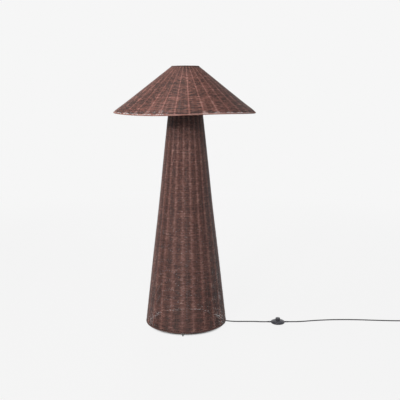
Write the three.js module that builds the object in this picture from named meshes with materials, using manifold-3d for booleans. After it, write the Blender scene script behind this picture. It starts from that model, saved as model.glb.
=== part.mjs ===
// A floor lamp of woven rattan: a tall cone of basketwork on a steel wire frame carries a wide,
// shallow woven shade. A steel stem in the middle holds the lampholder, and a weight plate low in
// the cone keeps the lamp upright. The lead leaves under the woven rim and has a round foot switch.
// Millimetres, +Z up, the front of the lamp towards -Y, the origin on the floor at the lamp's axis.

import * as THREE from "three";
import { mergeVertices } from "three/addons/utils/BufferGeometryUtils.js";
import Module from "manifold-3d";

const wasm = await Module();
wasm.setup();

// Clearances and facet counts
const CLEARANCE = 0.3; // between neighbouring pieces
const FACETS = 40; // sides of the large turned pieces
const SWITCH_FACETS = 36; // sides of the foot switch
const SMALL_FACETS = 20; // sides of the lampholder and the like
const ROD_FACETS = 10; // sides of rods
const SCREW_FACETS = 8; // sides of screws and their holes
const RING_FACETS = 6; // sides of a thin ring's section
const SHADE_RING_STEPS = 40; // steps round a wire ring of the shade
const BEND_FACETS = 5; // facets of a half round bend in sheet
const GLASS_FACETS = 4; // facets of each half of the bulb's profile
const SPRING_STEPS = 8; // steps of a turn of the switch's spring
const SPRING_SIDES = 5;
// Steps round a ring of the base: a multiple of four and not of eight, so that the ring has a corner
// at each of four rods and a straight stretch halfway between two of them.
const BASE_RING_STEPS = 28;

// Woven base, a straight cone
const RIM_GAP = 15.4; // clear height under the woven rim
const BASE_HEIGHT = 1228.6;
const BASE_BOTTOM_RADIUS = 233.5;
const BASE_TOP_RADIUS = 94.8;
const BASE_WALL = 7;
const BASE_RIDGES = 22; // one over each pair of main stakes
const BASE_RIDGE_HEIGHT = 2.4;
const BASE_TURN = THREE.MathUtils.degToRad(-4.3); // the front ridge stands a little to the left
const BORDER_HEIGHT = 12;
const BORDER_SWELL = 1; // how far a border stands proud of the wall
const BORDER_STEPS = 2;

// Steel frame inside the base
const PLACES = ["right", "back", "left", "front"]; // one rod and one foot each
const FRAME_TURN = THREE.MathUtils.degToRad(-3.5); // the front rod stands a little to the left
const ROD_RADIUS = 3;
const FOOT_WALL = 1;
const FOOT_DROP = 1.6; // a foot's top below the woven rim
const FOOT_SOLE = 2;
const WELD = 0.4; // how far welded rods run into each other
const LOWER_RING_HEIGHT = 420;
const UPPER_RING_HEIGHT = 830;

// Weight plate and its clamps
const PLATE_LIFT = 12; // floor to the underside of the plate
const PLATE_THICKNESS = 3;
const PLATE_INSET = 43.5; // from the woven rim in to the plate's edge
const EAR_WIDTH = 26;
const EAR_OVERHANG = 1; // ear beyond the clamp
const CLAMP_SHEET = 1.5;
const CLAMP_WIDTH = 14;
const CLAMP_FLANGE = 12;
const SCREW_RADIUS = 2.5;
const SCREW_HEAD_RADIUS = 4.5;
const SCREW_HEAD_HEIGHT = 2.6;
const SCREW_POINT = 1; // screw end below the plate

// Stem with its nuts, and the plate in the neck
const STEM_RADIUS = 8;
const STEM_WALL = 1.5;
const STEM_BELOW_NUT = 1.5;
const STEM_IN_CAP = 10;
const SLOT_BOTTOM = 26;
const SLOT_TOP = 78;
const SLOT_WIDTH = 8.4;
const NUT_RADIUS = 13;
const NUT_HEIGHT = 5;
const NECK_DROP = 8; // neck plate's underside below the top of the base
const NECK_PLATE_THICKNESS = 3;

// Lampholder and bulb
const HOLDER_RADIUS = 19.5;
const HOLDER_WALL = 2;
const CAP_BASE_RADIUS = 13;
const CAP_FLOOR = 4;
const CAP_SHOULDER = 8;
const CAP_HEIGHT = 22;
const BODY_HEIGHT = 42;
const BODY_LIP = 2;
const BODY_LIP_WIDTH = 2.5;
const INSERT_FLOOR = 6;
const INSERT_HEIGHT = 34;
const INSERT_GAP = 0.4;
const BULB_CAP_RADIUS = 13.2;
const BULB_CAP_HEIGHT = 25;
const BULB_TIP_RADIUS = 5;
const BULB_TIP_HEIGHT = 2;
const BULB_RADIUS = 30;
const BULB_GLASS_HEIGHT = 82;
const BULB_GLASS_WALL = 1;
const BULB_NECK_HEIGHT = 10;
const SHADE_NUT_RADIUS = 28;
const SHADE_NUT_HEIGHT = 5;
const SEAT_RISE = 18; // the shade's seat above the foot of the holder's body

// Woven shade and its wire frame
const SHADE_HEIGHT = 257.5;
const SHADE_RIM_RADIUS = 393.8;
const SHADE_TOP_RADIUS = 78.5;
const SHADE_WALL = 4;
const SHADE_RIDGES = 32; // one over each pale stake
const SHADE_RIDGE_HEIGHT = 1;
const SHADE_TURN = THREE.MathUtils.degToRad(4.7); // the front ridge stands a little to the right
const RIM_OPENING_LENGTH = 6; // along the slope, of the openings above the rim's border
const RIM_OPENING_WIDTH = 22;
const RIM_OPENING_PLACE = 6; // from the border up to an opening's middle
const SHADE_RIM_BORDER = 4.6; // section radius of the rim's border
const SHADE_TOP_BORDER = 4.2;
const SHADE_RIBS = 6;
const WIRE_RADIUS = 2;
const SPIDER_RISE = 195.1; // the shade's top edge above its seat
const SPIDER_ARMS = 3;
const SPIDER_REACH = 1; // from the nuts to the spider's arms
const SPIDER_SHEET = 2;
const MIDDLE_RING_SHARE = 0.5; // place of the middle ring along the slope

// Lead and foot switch
const CORD_RADIUS = 3.25;
const CORD_SIDES = 8;
const CORD_STEP = 5; // radii of the cord between two of its sections
const CORD_FLOOR = 3.4; // height of the cord's middle where it lies on the floor
const CORD_LINE_Y = 7.5; // where the cord passes under the rim
const CORD_CLAMP_INSET = 40; // from the plate's edge in to the clamp
const CORD_CLAMP_FLANGE = 11;
const NOTCH_DEPTH = 30;
const NOTCH_WIDTH = 14;
const SWITCH_X = 537;
const SWITCH_Y = -8;
const SWITCH_RADIUS = 39.75;
const SWITCH_WALL = 2.2;
const SWITCH_FLOOR = 2;
const SWITCH_SPLIT = 7.2; // height of the joint between the two shells
const DOME_FOOT = 9.5; // height where the wall turns into the dome
const DOME_STEPS = 4;
const DOME_POWER = 1.25;
const SWITCH_TOP = 19;
const BUTTON_RADIUS = 13.5;
const BUTTON_GAP = 0.4;
const BUTTON_TRAVEL = 3.5;
const BUTTON_PROUD = 9.3; // what stands above the dome when the button is pressed
const BUTTON_FLANGE = 3;
const BUTTON_FLANGE_HEIGHT = 2;
const BUTTON_CROWN = 2.5;
const BUTTON_WALL = 3.5;
const SPRING_RADIUS = 6;
const SPRING_WIRE = 0.6;
const SPRING_TURNS = 4;
const BLOCK_LENGTH = 30;
const BLOCK_WIDTH = 24;
const BLOCK_TOP = 8;
const SWITCH_SCREWS = 3;
const SWITCH_SCREW_CIRCLE = 29;
const SWITCH_SCREW_RADIUS = 1.3;
const SWITCH_SCREW_HEAD = 2.6;
const SWITCH_SCREW_LENGTH = 11.5;
const SWITCH_SCREW_SEAT = 0.3;
const SCREW_SINK = 2.4;
const BOSS_RADIUS = 4.4;
const BOSS_TOP = 13.8;
const BUSH_RADIUS = 4.3;
const BUSH_TAIL = 20;
const BUSH_TAIL_RADIUS = 3.7;
const BUSH_INSIDE = 7;
const BUSH_FLANGE = 0.5;
const BUSH_NECK = 34; // the flange ends here, short of the wall's inside

// Coil of the spare lead, and the plug
const COIL_START_X = 1340;
const COIL_START_Y = 18;
const COIL_RADIUS = 46; // outer turn, to the middle of the cord
const COIL_TURNS_IN = 3;
const COIL_PITCH = 7.1;
const COIL_STEPS = 24;
const COIL_SIDES = 6;
const PLUG_X = 1413;
const PLUG_Y = 17;
const PLUG_HEIGHT = 7.3;
const PLUG_TAIL = 24;
const PLUG_TAIL_RADIUS = 4; // at the cord
const PLUG_TAIL_FOOT = 5.2; // its radius at the body
const PLUG_LENGTH = 34;
const PLUG_WIDTH = 27;
const PLUG_THICKNESS = 14;
const PLUG_BEVEL = 2;
const PIN_RADIUS = 2;
const PIN_LENGTH = 19;
const PIN_SPACING = 19;

// Colours and finishes
const LOOKS = {
  base: { color: 0x6e5149, roughness: 0.75 },
  shade: { color: 0x8a6c65, roughness: 0.75 },
  frame: { color: 0x3a3634, roughness: 0.5, metalness: 0.7 },
  foot: { color: 0x8c8f87, roughness: 0.6 },
  steel: { color: 0x9a9a98, roughness: 0.4, metalness: 0.9 },
  holder: { color: 0x2a2a2b, roughness: 0.5 },
  ceramic: { color: 0xe6e2d8, roughness: 0.4 },
  glass: { color: 0xf4efe2, roughness: 0.2 },
  brass: { color: 0xb9964f, roughness: 0.4, metalness: 0.9 },
  cord: { color: 0x3c3a3c, roughness: 0.6 },
  switch: { color: 0x46464c, roughness: 0.4 },
};

// Places that follow from the sizes above
const BASE_TOP = RIM_GAP + BASE_HEIGHT;
const BASE_SLOPE = (BASE_BOTTOM_RADIUS - BASE_TOP_RADIUS) / BASE_HEIGHT;
const SLOPE_COS = Math.cos(Math.atan(BASE_SLOPE));
const FACET_COS = Math.cos(Math.PI / Math.min(FACETS, 2 * BASE_RIDGES, 2 * SHADE_RIDGES));
const FOOT_RADIUS = ROD_RADIUS + CLEARANCE + FOOT_WALL;
const FOOT_HEIGHT = RIM_GAP - FOOT_DROP;
const PLATE_TOP = PLATE_LIFT + PLATE_THICKNESS;
const PLATE_RADIUS = BASE_BOTTOM_RADIUS - PLATE_INSET;
const CORD_CLAMP_X = PLATE_RADIUS - CORD_CLAMP_INSET;
const BOTTOM_RING_HEIGHT = PLATE_TOP + CLEARANCE + ROD_RADIUS;
const LEAD_HEIGHT = PLATE_TOP + CLEARANCE + CORD_RADIUS; // the lead's middle where it lies on the plate
const NECK_PLATE_BOTTOM = BASE_TOP - NECK_DROP;
const NECK_PLATE_TOP = NECK_PLATE_BOTTOM + NECK_PLATE_THICKNESS;
const CAP_BOTTOM = NECK_PLATE_TOP + CLEARANCE + NUT_HEIGHT + CLEARANCE;
const BODY_BOTTOM = CAP_BOTTOM + CAP_HEIGHT + CLEARANCE;
const INSERT_BOTTOM = BODY_BOTTOM + BODY_LIP + CLEARANCE;
const BULB_BOTTOM = INSERT_BOTTOM + INSERT_FLOOR + CLEARANCE;
const GLASS_BOTTOM = BULB_BOTTOM + BULB_CAP_HEIGHT + CLEARANCE;
const SEAT_HEIGHT = BODY_BOTTOM + SEAT_RISE;
const SHADE_TOP = SEAT_HEIGHT + SPIDER_RISE;
const SHADE_RIM = SHADE_TOP - SHADE_HEIGHT;
const BUTTON_TOP = SWITCH_TOP + BUTTON_TRAVEL + BUTTON_PROUD;
const SWITCH_FLANGE_TOP = SWITCH_TOP - SWITCH_WALL - CLEARANCE;

// Helpers that shape geometry
const LAMP = new THREE.Group();

function piece(name, geometry, look) {
  const mesh = new THREE.Mesh(geometry, new THREE.MeshStandardMaterial(look));
  mesh.name = name;
  LAMP.add(mesh);
  return mesh;
}

// A solid turned about +Z from a closed outline of [radius, height] points, anticlockwise.
function turned(outline, facets) {
  const points = [...outline, outline[0]].map(([radius, height]) => new THREE.Vector2(radius, height));
  return new THREE.LatheGeometry(points, facets).rotateX(Math.PI / 2);
}

function cylinder(radius, height, facets, x = 0, y = 0, z = 0) {
  const geometry = new THREE.CylinderGeometry(radius, radius, height, facets);
  return geometry.rotateX(Math.PI / 2).translate(x, y, z + height / 2);
}

function box(sizeX, sizeY, sizeZ, x, y, z) {
  return new THREE.BoxGeometry(sizeX, sizeY, sizeZ).translate(x, y, z + sizeZ / 2);
}

function at(x, y, z) {
  return new THREE.Vector3(x, y, z);
}

// A round bar between two points.
function bar(from, to, radius, facets) {
  const axis = new THREE.Vector3().subVectors(to, from);
  const turn = new THREE.Quaternion().setFromUnitVectors(at(0, 1, 0), axis.clone().normalize());
  const middle = new THREE.Vector3().addVectors(from, to).multiplyScalar(0.5);
  const geometry = new THREE.CylinderGeometry(radius, radius, axis.length(), facets);
  return geometry.applyQuaternion(turn).translate(middle.x, middle.y, middle.z);
}

function wireRing(radius, height, wire, steps) {
  return new THREE.TorusGeometry(radius, wire, RING_FACETS, steps).translate(0, 0, height);
}

function polygon(radius, sides) {
  const corners = [];
  for (let i = 0; i < sides; i += 1) {
    const angle = (2 * Math.PI * i) / sides;
    corners.push(new THREE.Vector2(radius * Math.cos(angle), radius * Math.sin(angle)));
  }
  return new THREE.Shape(corners);
}

// A cord through the given points, with a step every few radii.
function cordAlong(points) {
  const places = points.map((point) => at(...point));
  const extrudePath = new THREE.CatmullRomCurve3(places, false, "centripetal");
  const steps = Math.ceil(extrudePath.getLength() / (CORD_STEP * CORD_RADIUS));
  const section = polygon(CORD_RADIUS, CORD_SIDES);
  return new THREE.ExtrudeGeometry(section, { steps, extrudePath, bevelEnabled: false });
}

// A tube that follows every given point, for windings that never stand upright.
function woundTube(path, radius, sides) {
  const positions = [];
  const index = [];
  const side = new THREE.Vector3();
  const rise = new THREE.Vector3();
  const up = at(0, 0, 1);
  path.forEach((point, i) => {
    const before = path[Math.max(i - 1, 0)];
    const after = path[Math.min(i + 1, path.length - 1)];
    const along = new THREE.Vector3().subVectors(after, before).normalize();
    side.crossVectors(along, up).normalize();
    rise.crossVectors(side, along);
    for (let k = 0; k < sides; k += 1) {
      const angle = (2 * Math.PI * k) / sides;
      const corner = point.clone();
      corner.addScaledVector(side, radius * Math.cos(angle)).addScaledVector(rise, radius * Math.sin(angle));
      positions.push(corner.x, corner.y, corner.z);
    }
  });
  for (let i = 0; i < path.length - 1; i += 1) {
    for (let k = 0; k < sides; k += 1) {
      const a = i * sides + k;
      const b = i * sides + ((k + 1) % sides);
      index.push(a, a + sides, b, b, a + sides, b + sides);
    }
  }
  const last = (path.length - 1) * sides;
  for (let k = 1; k < sides - 1; k += 1) {
    index.push(0, k, k + 1);
    index.push(last, last + k + 1, last + k);
  }
  const geometry = new THREE.BufferGeometry();
  geometry.setAttribute("position", new THREE.Float32BufferAttribute(positions, 3));
  geometry.setIndex(index);
  return geometry;
}

// Joins and cuts
function toSolid(geometry) {
  const bare = geometry.clone();
  bare.deleteAttribute("normal");
  bare.deleteAttribute("uv");
  const merged = mergeVertices(bare);
  const corners = merged.index.array;
  const kept = [];
  for (let i = 0; i < corners.length; i += 3) {
    const [a, b, c] = [corners[i], corners[i + 1], corners[i + 2]];
    if (a !== b && b !== c && c !== a) kept.push(a, b, c);
  }
  const vertProperties = new Float32Array(merged.attributes.position.array);
  const mesh = new wasm.Mesh({ numProp: 3, vertProperties, triVerts: new Uint32Array(kept) });
  return new wasm.Manifold(mesh);
}

function toGeometry(solid) {
  const mesh = solid.getMesh();
  const geometry = new THREE.BufferGeometry();
  geometry.setAttribute("position", new THREE.BufferAttribute(new Float32Array(mesh.vertProperties), 3));
  geometry.setIndex(new THREE.BufferAttribute(new Uint32Array(mesh.triVerts), 1));
  return geometry;
}

function shaped(start, { add = [], cut = [] }) {
  let solid = toSolid(start);
  for (const geometry of add) solid = solid.add(toSolid(geometry));
  for (const geometry of cut) solid = solid.subtract(toSolid(geometry));
  return toGeometry(solid);
}

// The woven base: a wall between two borders
function coneRadius(height) {
  return BASE_BOTTOM_RADIUS - BASE_SLOPE * (height - RIM_GAP);
}

// Sinks a turned wall's outer side at every second corner by a [radius, height] step, so that
// ridges stand between the grooves.
function ridged(wall, ridges, isOutside, [inward, down]) {
  const places = wall.attributes.position;
  for (let i = 0; i < places.count; i += 1) {
    const [x, y, z] = [places.getX(i), places.getY(i), places.getZ(i)];
    const radius = Math.hypot(x, y);
    const corner = Math.round((Math.atan2(x, -y) * ridges) / Math.PI);
    if (corner % 2 !== 0 && isOutside(radius, z)) {
      const share = 1 - inward / radius;
      places.setXYZ(i, x * share, y * share, z - down);
    }
  }
  return wall;
}

function coneWall(bottom, top) {
  const outline = [
    [coneRadius(bottom), bottom],
    [coneRadius(top), top],
    [coneRadius(top) - BASE_WALL, top],
    [coneRadius(bottom) - BASE_WALL, bottom],
  ];
  const isOutside = (radius, height) => radius > coneRadius(height) - BASE_WALL / 2;
  const wall = turned(outline, 2 * BASE_RIDGES);
  return ridged(wall, BASE_RIDGES, isOutside, [BASE_RIDGE_HEIGHT, 0]).rotateZ(BASE_TURN);
}

function coneBorder(bottom) {
  const outline = [];
  const middle = bottom + BORDER_HEIGHT / 2;
  for (let i = 0; i <= BORDER_STEPS; i += 1) {
    const angle = (Math.PI * i) / BORDER_STEPS - Math.PI / 2;
    const height = middle + (BORDER_HEIGHT / 2) * Math.sin(angle);
    const reach = (BASE_WALL / 2 + BORDER_SWELL) * Math.cos(angle);
    outline.push([coneRadius(height) - BASE_WALL / 2 + reach, height]);
  }
  outline.push([coneRadius(bottom + BORDER_HEIGHT) - BASE_WALL, bottom + BORDER_HEIGHT]);
  outline.push([coneRadius(bottom) - BASE_WALL, bottom]);
  return turned(outline, FACETS);
}

function addWovenBase() {
  const wallBottom = RIM_GAP + BORDER_HEIGHT + CLEARANCE;
  const wallTop = BASE_TOP - BORDER_HEIGHT - CLEARANCE;
  piece("base_wicker", coneWall(wallBottom, wallTop), LOOKS.base);
  piece("base_bottom_border", coneBorder(RIM_GAP), LOOKS.base);
  piece("base_top_border", coneBorder(BASE_TOP - BORDER_HEIGHT), LOOKS.base);
}

// The steel frame is welded: slanting rods against the inside of the wall, rings inside the rods
function innerFlat(height) {
  return (coneRadius(height) - BASE_WALL) * FACET_COS;
}

function rodCentre(height) {
  return innerFlat(height) - (ROD_RADIUS + CLEARANCE) / SLOPE_COS;
}

function ringRadius(height) {
  return rodCentre(height) - (2 * ROD_RADIUS - WELD) / SLOPE_COS;
}

function onRod(height) {
  return at(rodCentre(height), 0, height);
}

function placeAngle(i) {
  return FRAME_TURN + (2 * Math.PI * i) / PLACES.length;
}

function baseRing(height) {
  return wireRing(ringRadius(height), height, ROD_RADIUS, BASE_RING_STEPS).rotateZ(FRAME_TURN);
}

function baseFrame() {
  const rodBottom = FOOT_SOLE + CLEARANCE + ROD_RADIUS * BASE_SLOPE;
  const rodTop = NECK_PLATE_BOTTOM - CLEARANCE - ROD_RADIUS * BASE_SLOPE;
  const topRing = NECK_PLATE_BOTTOM - CLEARANCE - ROD_RADIUS;
  const rod = bar(onRod(rodBottom), onRod(rodTop), ROD_RADIUS, ROD_FACETS);
  const rods = PLACES.map((place, i) => rod.clone().rotateZ(placeAngle(i)));
  const rings = [BOTTOM_RING_HEIGHT, LOWER_RING_HEIGHT, UPPER_RING_HEIGHT, topRing].map(baseRing);
  return shaped(rods[0], { add: [...rods.slice(1), ...rings] });
}

// A foot is a plastic sleeve on the rod's lower end, cut level with the floor.
function foot() {
  const outer = bar(onRod(-FOOT_HEIGHT), onRod(FOOT_HEIGHT), FOOT_RADIUS, ROD_FACETS);
  const bore = bar(onRod(FOOT_SOLE), onRod(2 * FOOT_HEIGHT), ROD_RADIUS + CLEARANCE, ROD_FACETS);
  const floor = box(6 * FOOT_RADIUS, 6 * FOOT_RADIUS, 2 * FOOT_HEIGHT, rodCentre(0), 0, -2 * FOOT_HEIGHT);
  return shaped(outer, { cut: [bore, floor] });
}

function addFrame() {
  piece("base_frame", baseFrame(), LOOKS.frame);
  PLACES.forEach((place, i) => {
    piece(`foot_${place}`, foot(), LOOKS.foot).rotation.z = placeAngle(i);
  });
}

// The weight plate hangs on its ears under the bottom ring, in sheet clamps that reach over the ring
const CLAMP_REACH = ROD_RADIUS + CLEARANCE + CLAMP_SHEET;
const RING_FLAT = ringRadius(BOTTOM_RING_HEIGHT) * Math.cos(Math.PI / BASE_RING_STEPS);
const EAR_END = RING_FLAT + CLAMP_REACH + EAR_OVERHANG;
const EAR_SCREW = RING_FLAT - CLAMP_REACH - CLAMP_FLANGE / 2;
const CORD_CLAMP_REACH = CORD_RADIUS + CLEARANCE + CLAMP_SHEET + CORD_CLAMP_FLANGE / 2;

function earAngle(i) {
  return placeAngle(i + 0.5);
}

function drill(radius, facets, x, y) {
  return cylinder(radius + CLEARANCE, 3 * PLATE_THICKNESS, facets, x, y, PLATE_LIFT - PLATE_THICKNESS);
}

function weightPlate() {
  const disc = cylinder(PLATE_RADIUS, PLATE_THICKNESS, FACETS, 0, 0, PLATE_LIFT);
  const earLength = EAR_END - PLATE_RADIUS / 2;
  const ear = box(earLength, EAR_WIDTH, PLATE_THICKNESS, EAR_END - earLength / 2, 0, PLATE_LIFT);
  const notch = box(2 * NOTCH_DEPTH, NOTCH_WIDTH, PLATE_TOP, PLATE_RADIUS, CORD_LINE_Y, PLATE_LIFT / 2);
  const besideCord = (y) => drill(SCREW_RADIUS, SCREW_FACETS, CORD_CLAMP_X, CORD_LINE_Y + y);
  const ears = PLACES.map((place, i) => ear.clone().rotateZ(earAngle(i)));
  const screwHole = drill(SCREW_RADIUS, SCREW_FACETS, EAR_SCREW, 0);
  const earHoles = PLACES.map((place, i) => screwHole.clone().rotateZ(earAngle(i)));
  const cordHoles = [besideCord(-CORD_CLAMP_REACH), besideCord(CORD_CLAMP_REACH)];
  const stemHole = drill(STEM_RADIUS, SMALL_FACETS, 0, 0);
  return shaped(disc, { add: ears, cut: [stemHole, notch, ...cordHoles, ...earHoles] });
}

// Sheet bent over a round bar of the given radius that lies on the plate: flanges left, right or both.
function clampOutline(barRadius, barHeight, leftFlange, rightFlange) {
  const inner = barRadius + CLEARANCE;
  const outer = inner + CLAMP_SHEET;
  const foot = PLATE_TOP + CLEARANCE;
  const shape = new THREE.Shape();
  shape.moveTo(-outer - leftFlange, foot);
  shape.lineTo(-inner, foot);
  shape.absarc(0, barHeight, inner, Math.PI, 0, true);
  shape.lineTo(inner, foot);
  shape.lineTo(outer + rightFlange, foot);
  shape.lineTo(outer + rightFlange, foot + CLAMP_SHEET);
  if (rightFlange > 0) shape.lineTo(outer, foot + CLAMP_SHEET);
  shape.absarc(0, barHeight, outer, 0, Math.PI, false);
  shape.lineTo(-outer, foot + CLAMP_SHEET);
  shape.lineTo(-outer - leftFlange, foot + CLAMP_SHEET);
  const settings = { depth: CLAMP_WIDTH, bevelEnabled: false, curveSegments: BEND_FACETS };
  return new THREE.ExtrudeGeometry(shape, settings);
}

function ringClamp() {
  const bent = clampOutline(ROD_RADIUS, BOTTOM_RING_HEIGHT, CLAMP_FLANGE, 0);
  bent.rotateX(Math.PI / 2).translate(RING_FLAT, CLAMP_WIDTH / 2, 0);
  const hole = drill(SCREW_RADIUS, SCREW_FACETS, EAR_SCREW, 0).translate(0, 0, PLATE_THICKNESS);
  return shaped(bent, { cut: [hole] });
}

function cordClamp() {
  const bent = clampOutline(CORD_RADIUS, LEAD_HEIGHT, CORD_CLAMP_FLANGE, CORD_CLAMP_FLANGE);
  bent.rotateX(Math.PI / 2).rotateZ(Math.PI / 2).translate(-CLAMP_WIDTH / 2, 0, 0);
  const hole = (y) => drill(SCREW_RADIUS, SCREW_FACETS, 0, y).translate(0, 0, PLATE_THICKNESS);
  return shaped(bent, { cut: [hole(-CORD_CLAMP_REACH), hole(CORD_CLAMP_REACH)] });
}

function plateScrew() {
  const head = PLATE_TOP + CLEARANCE + CLAMP_SHEET + CLEARANCE;
  return turned(
    [
      [0, PLATE_LIFT - SCREW_POINT],
      [SCREW_RADIUS, PLATE_LIFT - SCREW_POINT],
      [SCREW_RADIUS, head],
      [SCREW_HEAD_RADIUS, head],
      [SCREW_HEAD_RADIUS / 2, head + SCREW_HEAD_HEIGHT],
      [0, head + SCREW_HEAD_HEIGHT],
    ],
    SCREW_FACETS,
  );
}

function addWeightPlate() {
  piece("base_plate", weightPlate(), LOOKS.frame);
  PLACES.forEach((place, i) => {
    piece(`ring_clamp_${i + 1}`, ringClamp(), LOOKS.frame).rotation.z = earAngle(i);
    const screw = piece(`ring_clamp_screw_${i + 1}`, plateScrew().translate(EAR_SCREW, 0, 0), LOOKS.steel);
    screw.rotation.z = earAngle(i);
  });
  piece("cord_clamp", cordClamp(), LOOKS.steel).position.set(CORD_CLAMP_X, CORD_LINE_Y, 0);
  [-CORD_CLAMP_REACH, CORD_CLAMP_REACH].forEach((y, i) => {
    const screw = piece(`cord_clamp_screw_${i + 1}`, plateScrew(), LOOKS.steel);
    screw.position.set(CORD_CLAMP_X, CORD_LINE_Y + y, 0);
  });
}

// The stem, its four nuts and the plate in the neck
function tube(outer, inner, bottom, top, facets) {
  return turned([[outer, bottom], [outer, top], [inner, top], [inner, bottom]], facets);
}

function hexNut(bottom) {
  const blank = cylinder(NUT_RADIUS, NUT_HEIGHT, RING_FACETS, 0, 0, bottom);
  const bore = cylinder(STEM_RADIUS + CLEARANCE, 3 * NUT_HEIGHT, SMALL_FACETS, 0, 0, bottom - NUT_HEIGHT);
  return shaped(blank, { cut: [bore] });
}

function addStem() {
  const nutHeights = [
    PLATE_LIFT - CLEARANCE - NUT_HEIGHT,
    PLATE_TOP + CLEARANCE,
    NECK_PLATE_BOTTOM - CLEARANCE - NUT_HEIGHT,
    NECK_PLATE_TOP + CLEARANCE,
  ];
  const stemBottom = nutHeights[0] - STEM_BELOW_NUT;
  const stem = tube(STEM_RADIUS, STEM_RADIUS - STEM_WALL, stemBottom, CAP_BOTTOM + STEM_IN_CAP, SMALL_FACETS);
  const slot = box(2 * STEM_RADIUS, SLOT_WIDTH, SLOT_TOP - SLOT_BOTTOM, STEM_RADIUS, 0, SLOT_BOTTOM);
  piece("stem", shaped(stem, { cut: [slot] }), LOOKS.steel);
  nutHeights.forEach((height, i) => piece(`stem_nut_${i + 1}`, hexNut(height), LOOKS.steel));
  const plateRadius = innerFlat(NECK_PLATE_TOP) - CLEARANCE;
  const neckPlate = tube(plateRadius, STEM_RADIUS + CLEARANCE, NECK_PLATE_BOTTOM, NECK_PLATE_TOP, FACETS);
  piece("neck_plate", neckPlate, LOOKS.frame);
}

// The lampholder: cap, body, insert and the two nuts that clamp the shade
function holderCap() {
  return turned(
    [
      [STEM_RADIUS + CLEARANCE, CAP_BOTTOM],
      [CAP_BASE_RADIUS, CAP_BOTTOM],
      [HOLDER_RADIUS, CAP_BOTTOM + CAP_SHOULDER],
      [HOLDER_RADIUS, CAP_BOTTOM + CAP_HEIGHT],
      [HOLDER_RADIUS - HOLDER_WALL, CAP_BOTTOM + CAP_HEIGHT],
      [HOLDER_RADIUS - HOLDER_WALL, CAP_BOTTOM + CAP_SHOULDER + HOLDER_WALL],
      [CAP_BASE_RADIUS, CAP_BOTTOM + CAP_FLOOR],
      [STEM_RADIUS + CLEARANCE, CAP_BOTTOM + CAP_FLOOR],
    ],
    SMALL_FACETS,
  );
}

function holderBody() {
  const inner = HOLDER_RADIUS - HOLDER_WALL;
  return turned(
    [
      [inner - BODY_LIP_WIDTH, BODY_BOTTOM],
      [HOLDER_RADIUS, BODY_BOTTOM],
      [HOLDER_RADIUS, BODY_BOTTOM + BODY_HEIGHT],
      [inner, BODY_BOTTOM + BODY_HEIGHT],
      [inner, BODY_BOTTOM + BODY_LIP],
      [inner - BODY_LIP_WIDTH, BODY_BOTTOM + BODY_LIP],
    ],
    SMALL_FACETS,
  );
}

function holderInsert() {
  const outer = HOLDER_RADIUS - HOLDER_WALL - INSERT_GAP;
  const inner = BULB_CAP_RADIUS + CLEARANCE;
  return turned(
    [
      [0, INSERT_BOTTOM],
      [outer, INSERT_BOTTOM],
      [outer, INSERT_BOTTOM + INSERT_HEIGHT],
      [inner, INSERT_BOTTOM + INSERT_HEIGHT],
      [inner, INSERT_BOTTOM + INSERT_FLOOR],
      [0, INSERT_BOTTOM + INSERT_FLOOR],
    ],
    SMALL_FACETS,
  );
}

function addLampholder() {
  piece("holder_cap", holderCap(), LOOKS.holder);
  piece("holder_body", holderBody(), LOOKS.holder);
  piece("holder_insert", holderInsert(), LOOKS.ceramic);
  const bore = HOLDER_RADIUS + CLEARANCE;
  const lowerTop = SEAT_HEIGHT - CLEARANCE;
  const lower = tube(SHADE_NUT_RADIUS, bore, lowerTop - SHADE_NUT_HEIGHT, lowerTop, SMALL_FACETS);
  const upperBottom = SEAT_HEIGHT + SPIDER_SHEET + CLEARANCE;
  const upper = tube(SHADE_NUT_RADIUS, bore, upperBottom, upperBottom + SHADE_NUT_HEIGHT, SMALL_FACETS);
  piece("shade_nut_lower", lower, LOOKS.holder);
  piece("shade_nut_upper", upper, LOOKS.holder);
}

// The bulb: a screw cap with its contact tip, and a thin glass envelope
function bulbCap() {
  return turned(
    [
      [0, BULB_BOTTOM],
      [BULB_TIP_RADIUS, BULB_BOTTOM],
      [BULB_TIP_RADIUS * 2, BULB_BOTTOM + BULB_TIP_HEIGHT],
      [BULB_CAP_RADIUS, BULB_BOTTOM + 2 * BULB_TIP_HEIGHT],
      [BULB_CAP_RADIUS, BULB_BOTTOM + BULB_CAP_HEIGHT],
      [0, BULB_BOTTOM + BULB_CAP_HEIGHT],
    ],
    SMALL_FACETS,
  );
}

// The envelope's radius is round at the top and runs into the neck as a half wave.
function bulbGlass() {
  const centre = GLASS_BOTTOM + BULB_GLASS_HEIGHT - BULB_RADIUS;
  const neckTop = GLASS_BOTTOM + BULB_NECK_HEIGHT;
  const wall = (thickness) => {
    const line = [[BULB_CAP_RADIUS - thickness, GLASS_BOTTOM]];
    for (let i = 0; i <= GLASS_FACETS; i += 1) {
      const share = i / GLASS_FACETS;
      const swell = (1 - Math.cos(Math.PI * share)) / 2;
      const radius = BULB_CAP_RADIUS + (BULB_RADIUS - BULB_CAP_RADIUS) * swell;
      line.push([radius - thickness, neckTop + (centre - neckTop) * share]);
    }
    for (let i = 1; i <= GLASS_FACETS; i += 1) {
      const angle = (Math.PI / 2) * (i / GLASS_FACETS);
      const radius = BULB_RADIUS - thickness;
      line.push([i < GLASS_FACETS ? radius * Math.cos(angle) : 0, centre + radius * Math.sin(angle)]);
    }
    return line;
  };
  return turned([...wall(0), ...wall(BULB_GLASS_WALL).reverse()], SMALL_FACETS);
}

function addBulb() {
  piece("bulb_cap", bulbCap(), LOOKS.brass);
  piece("bulb_glass", bulbGlass(), LOOKS.glass);
}

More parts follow.
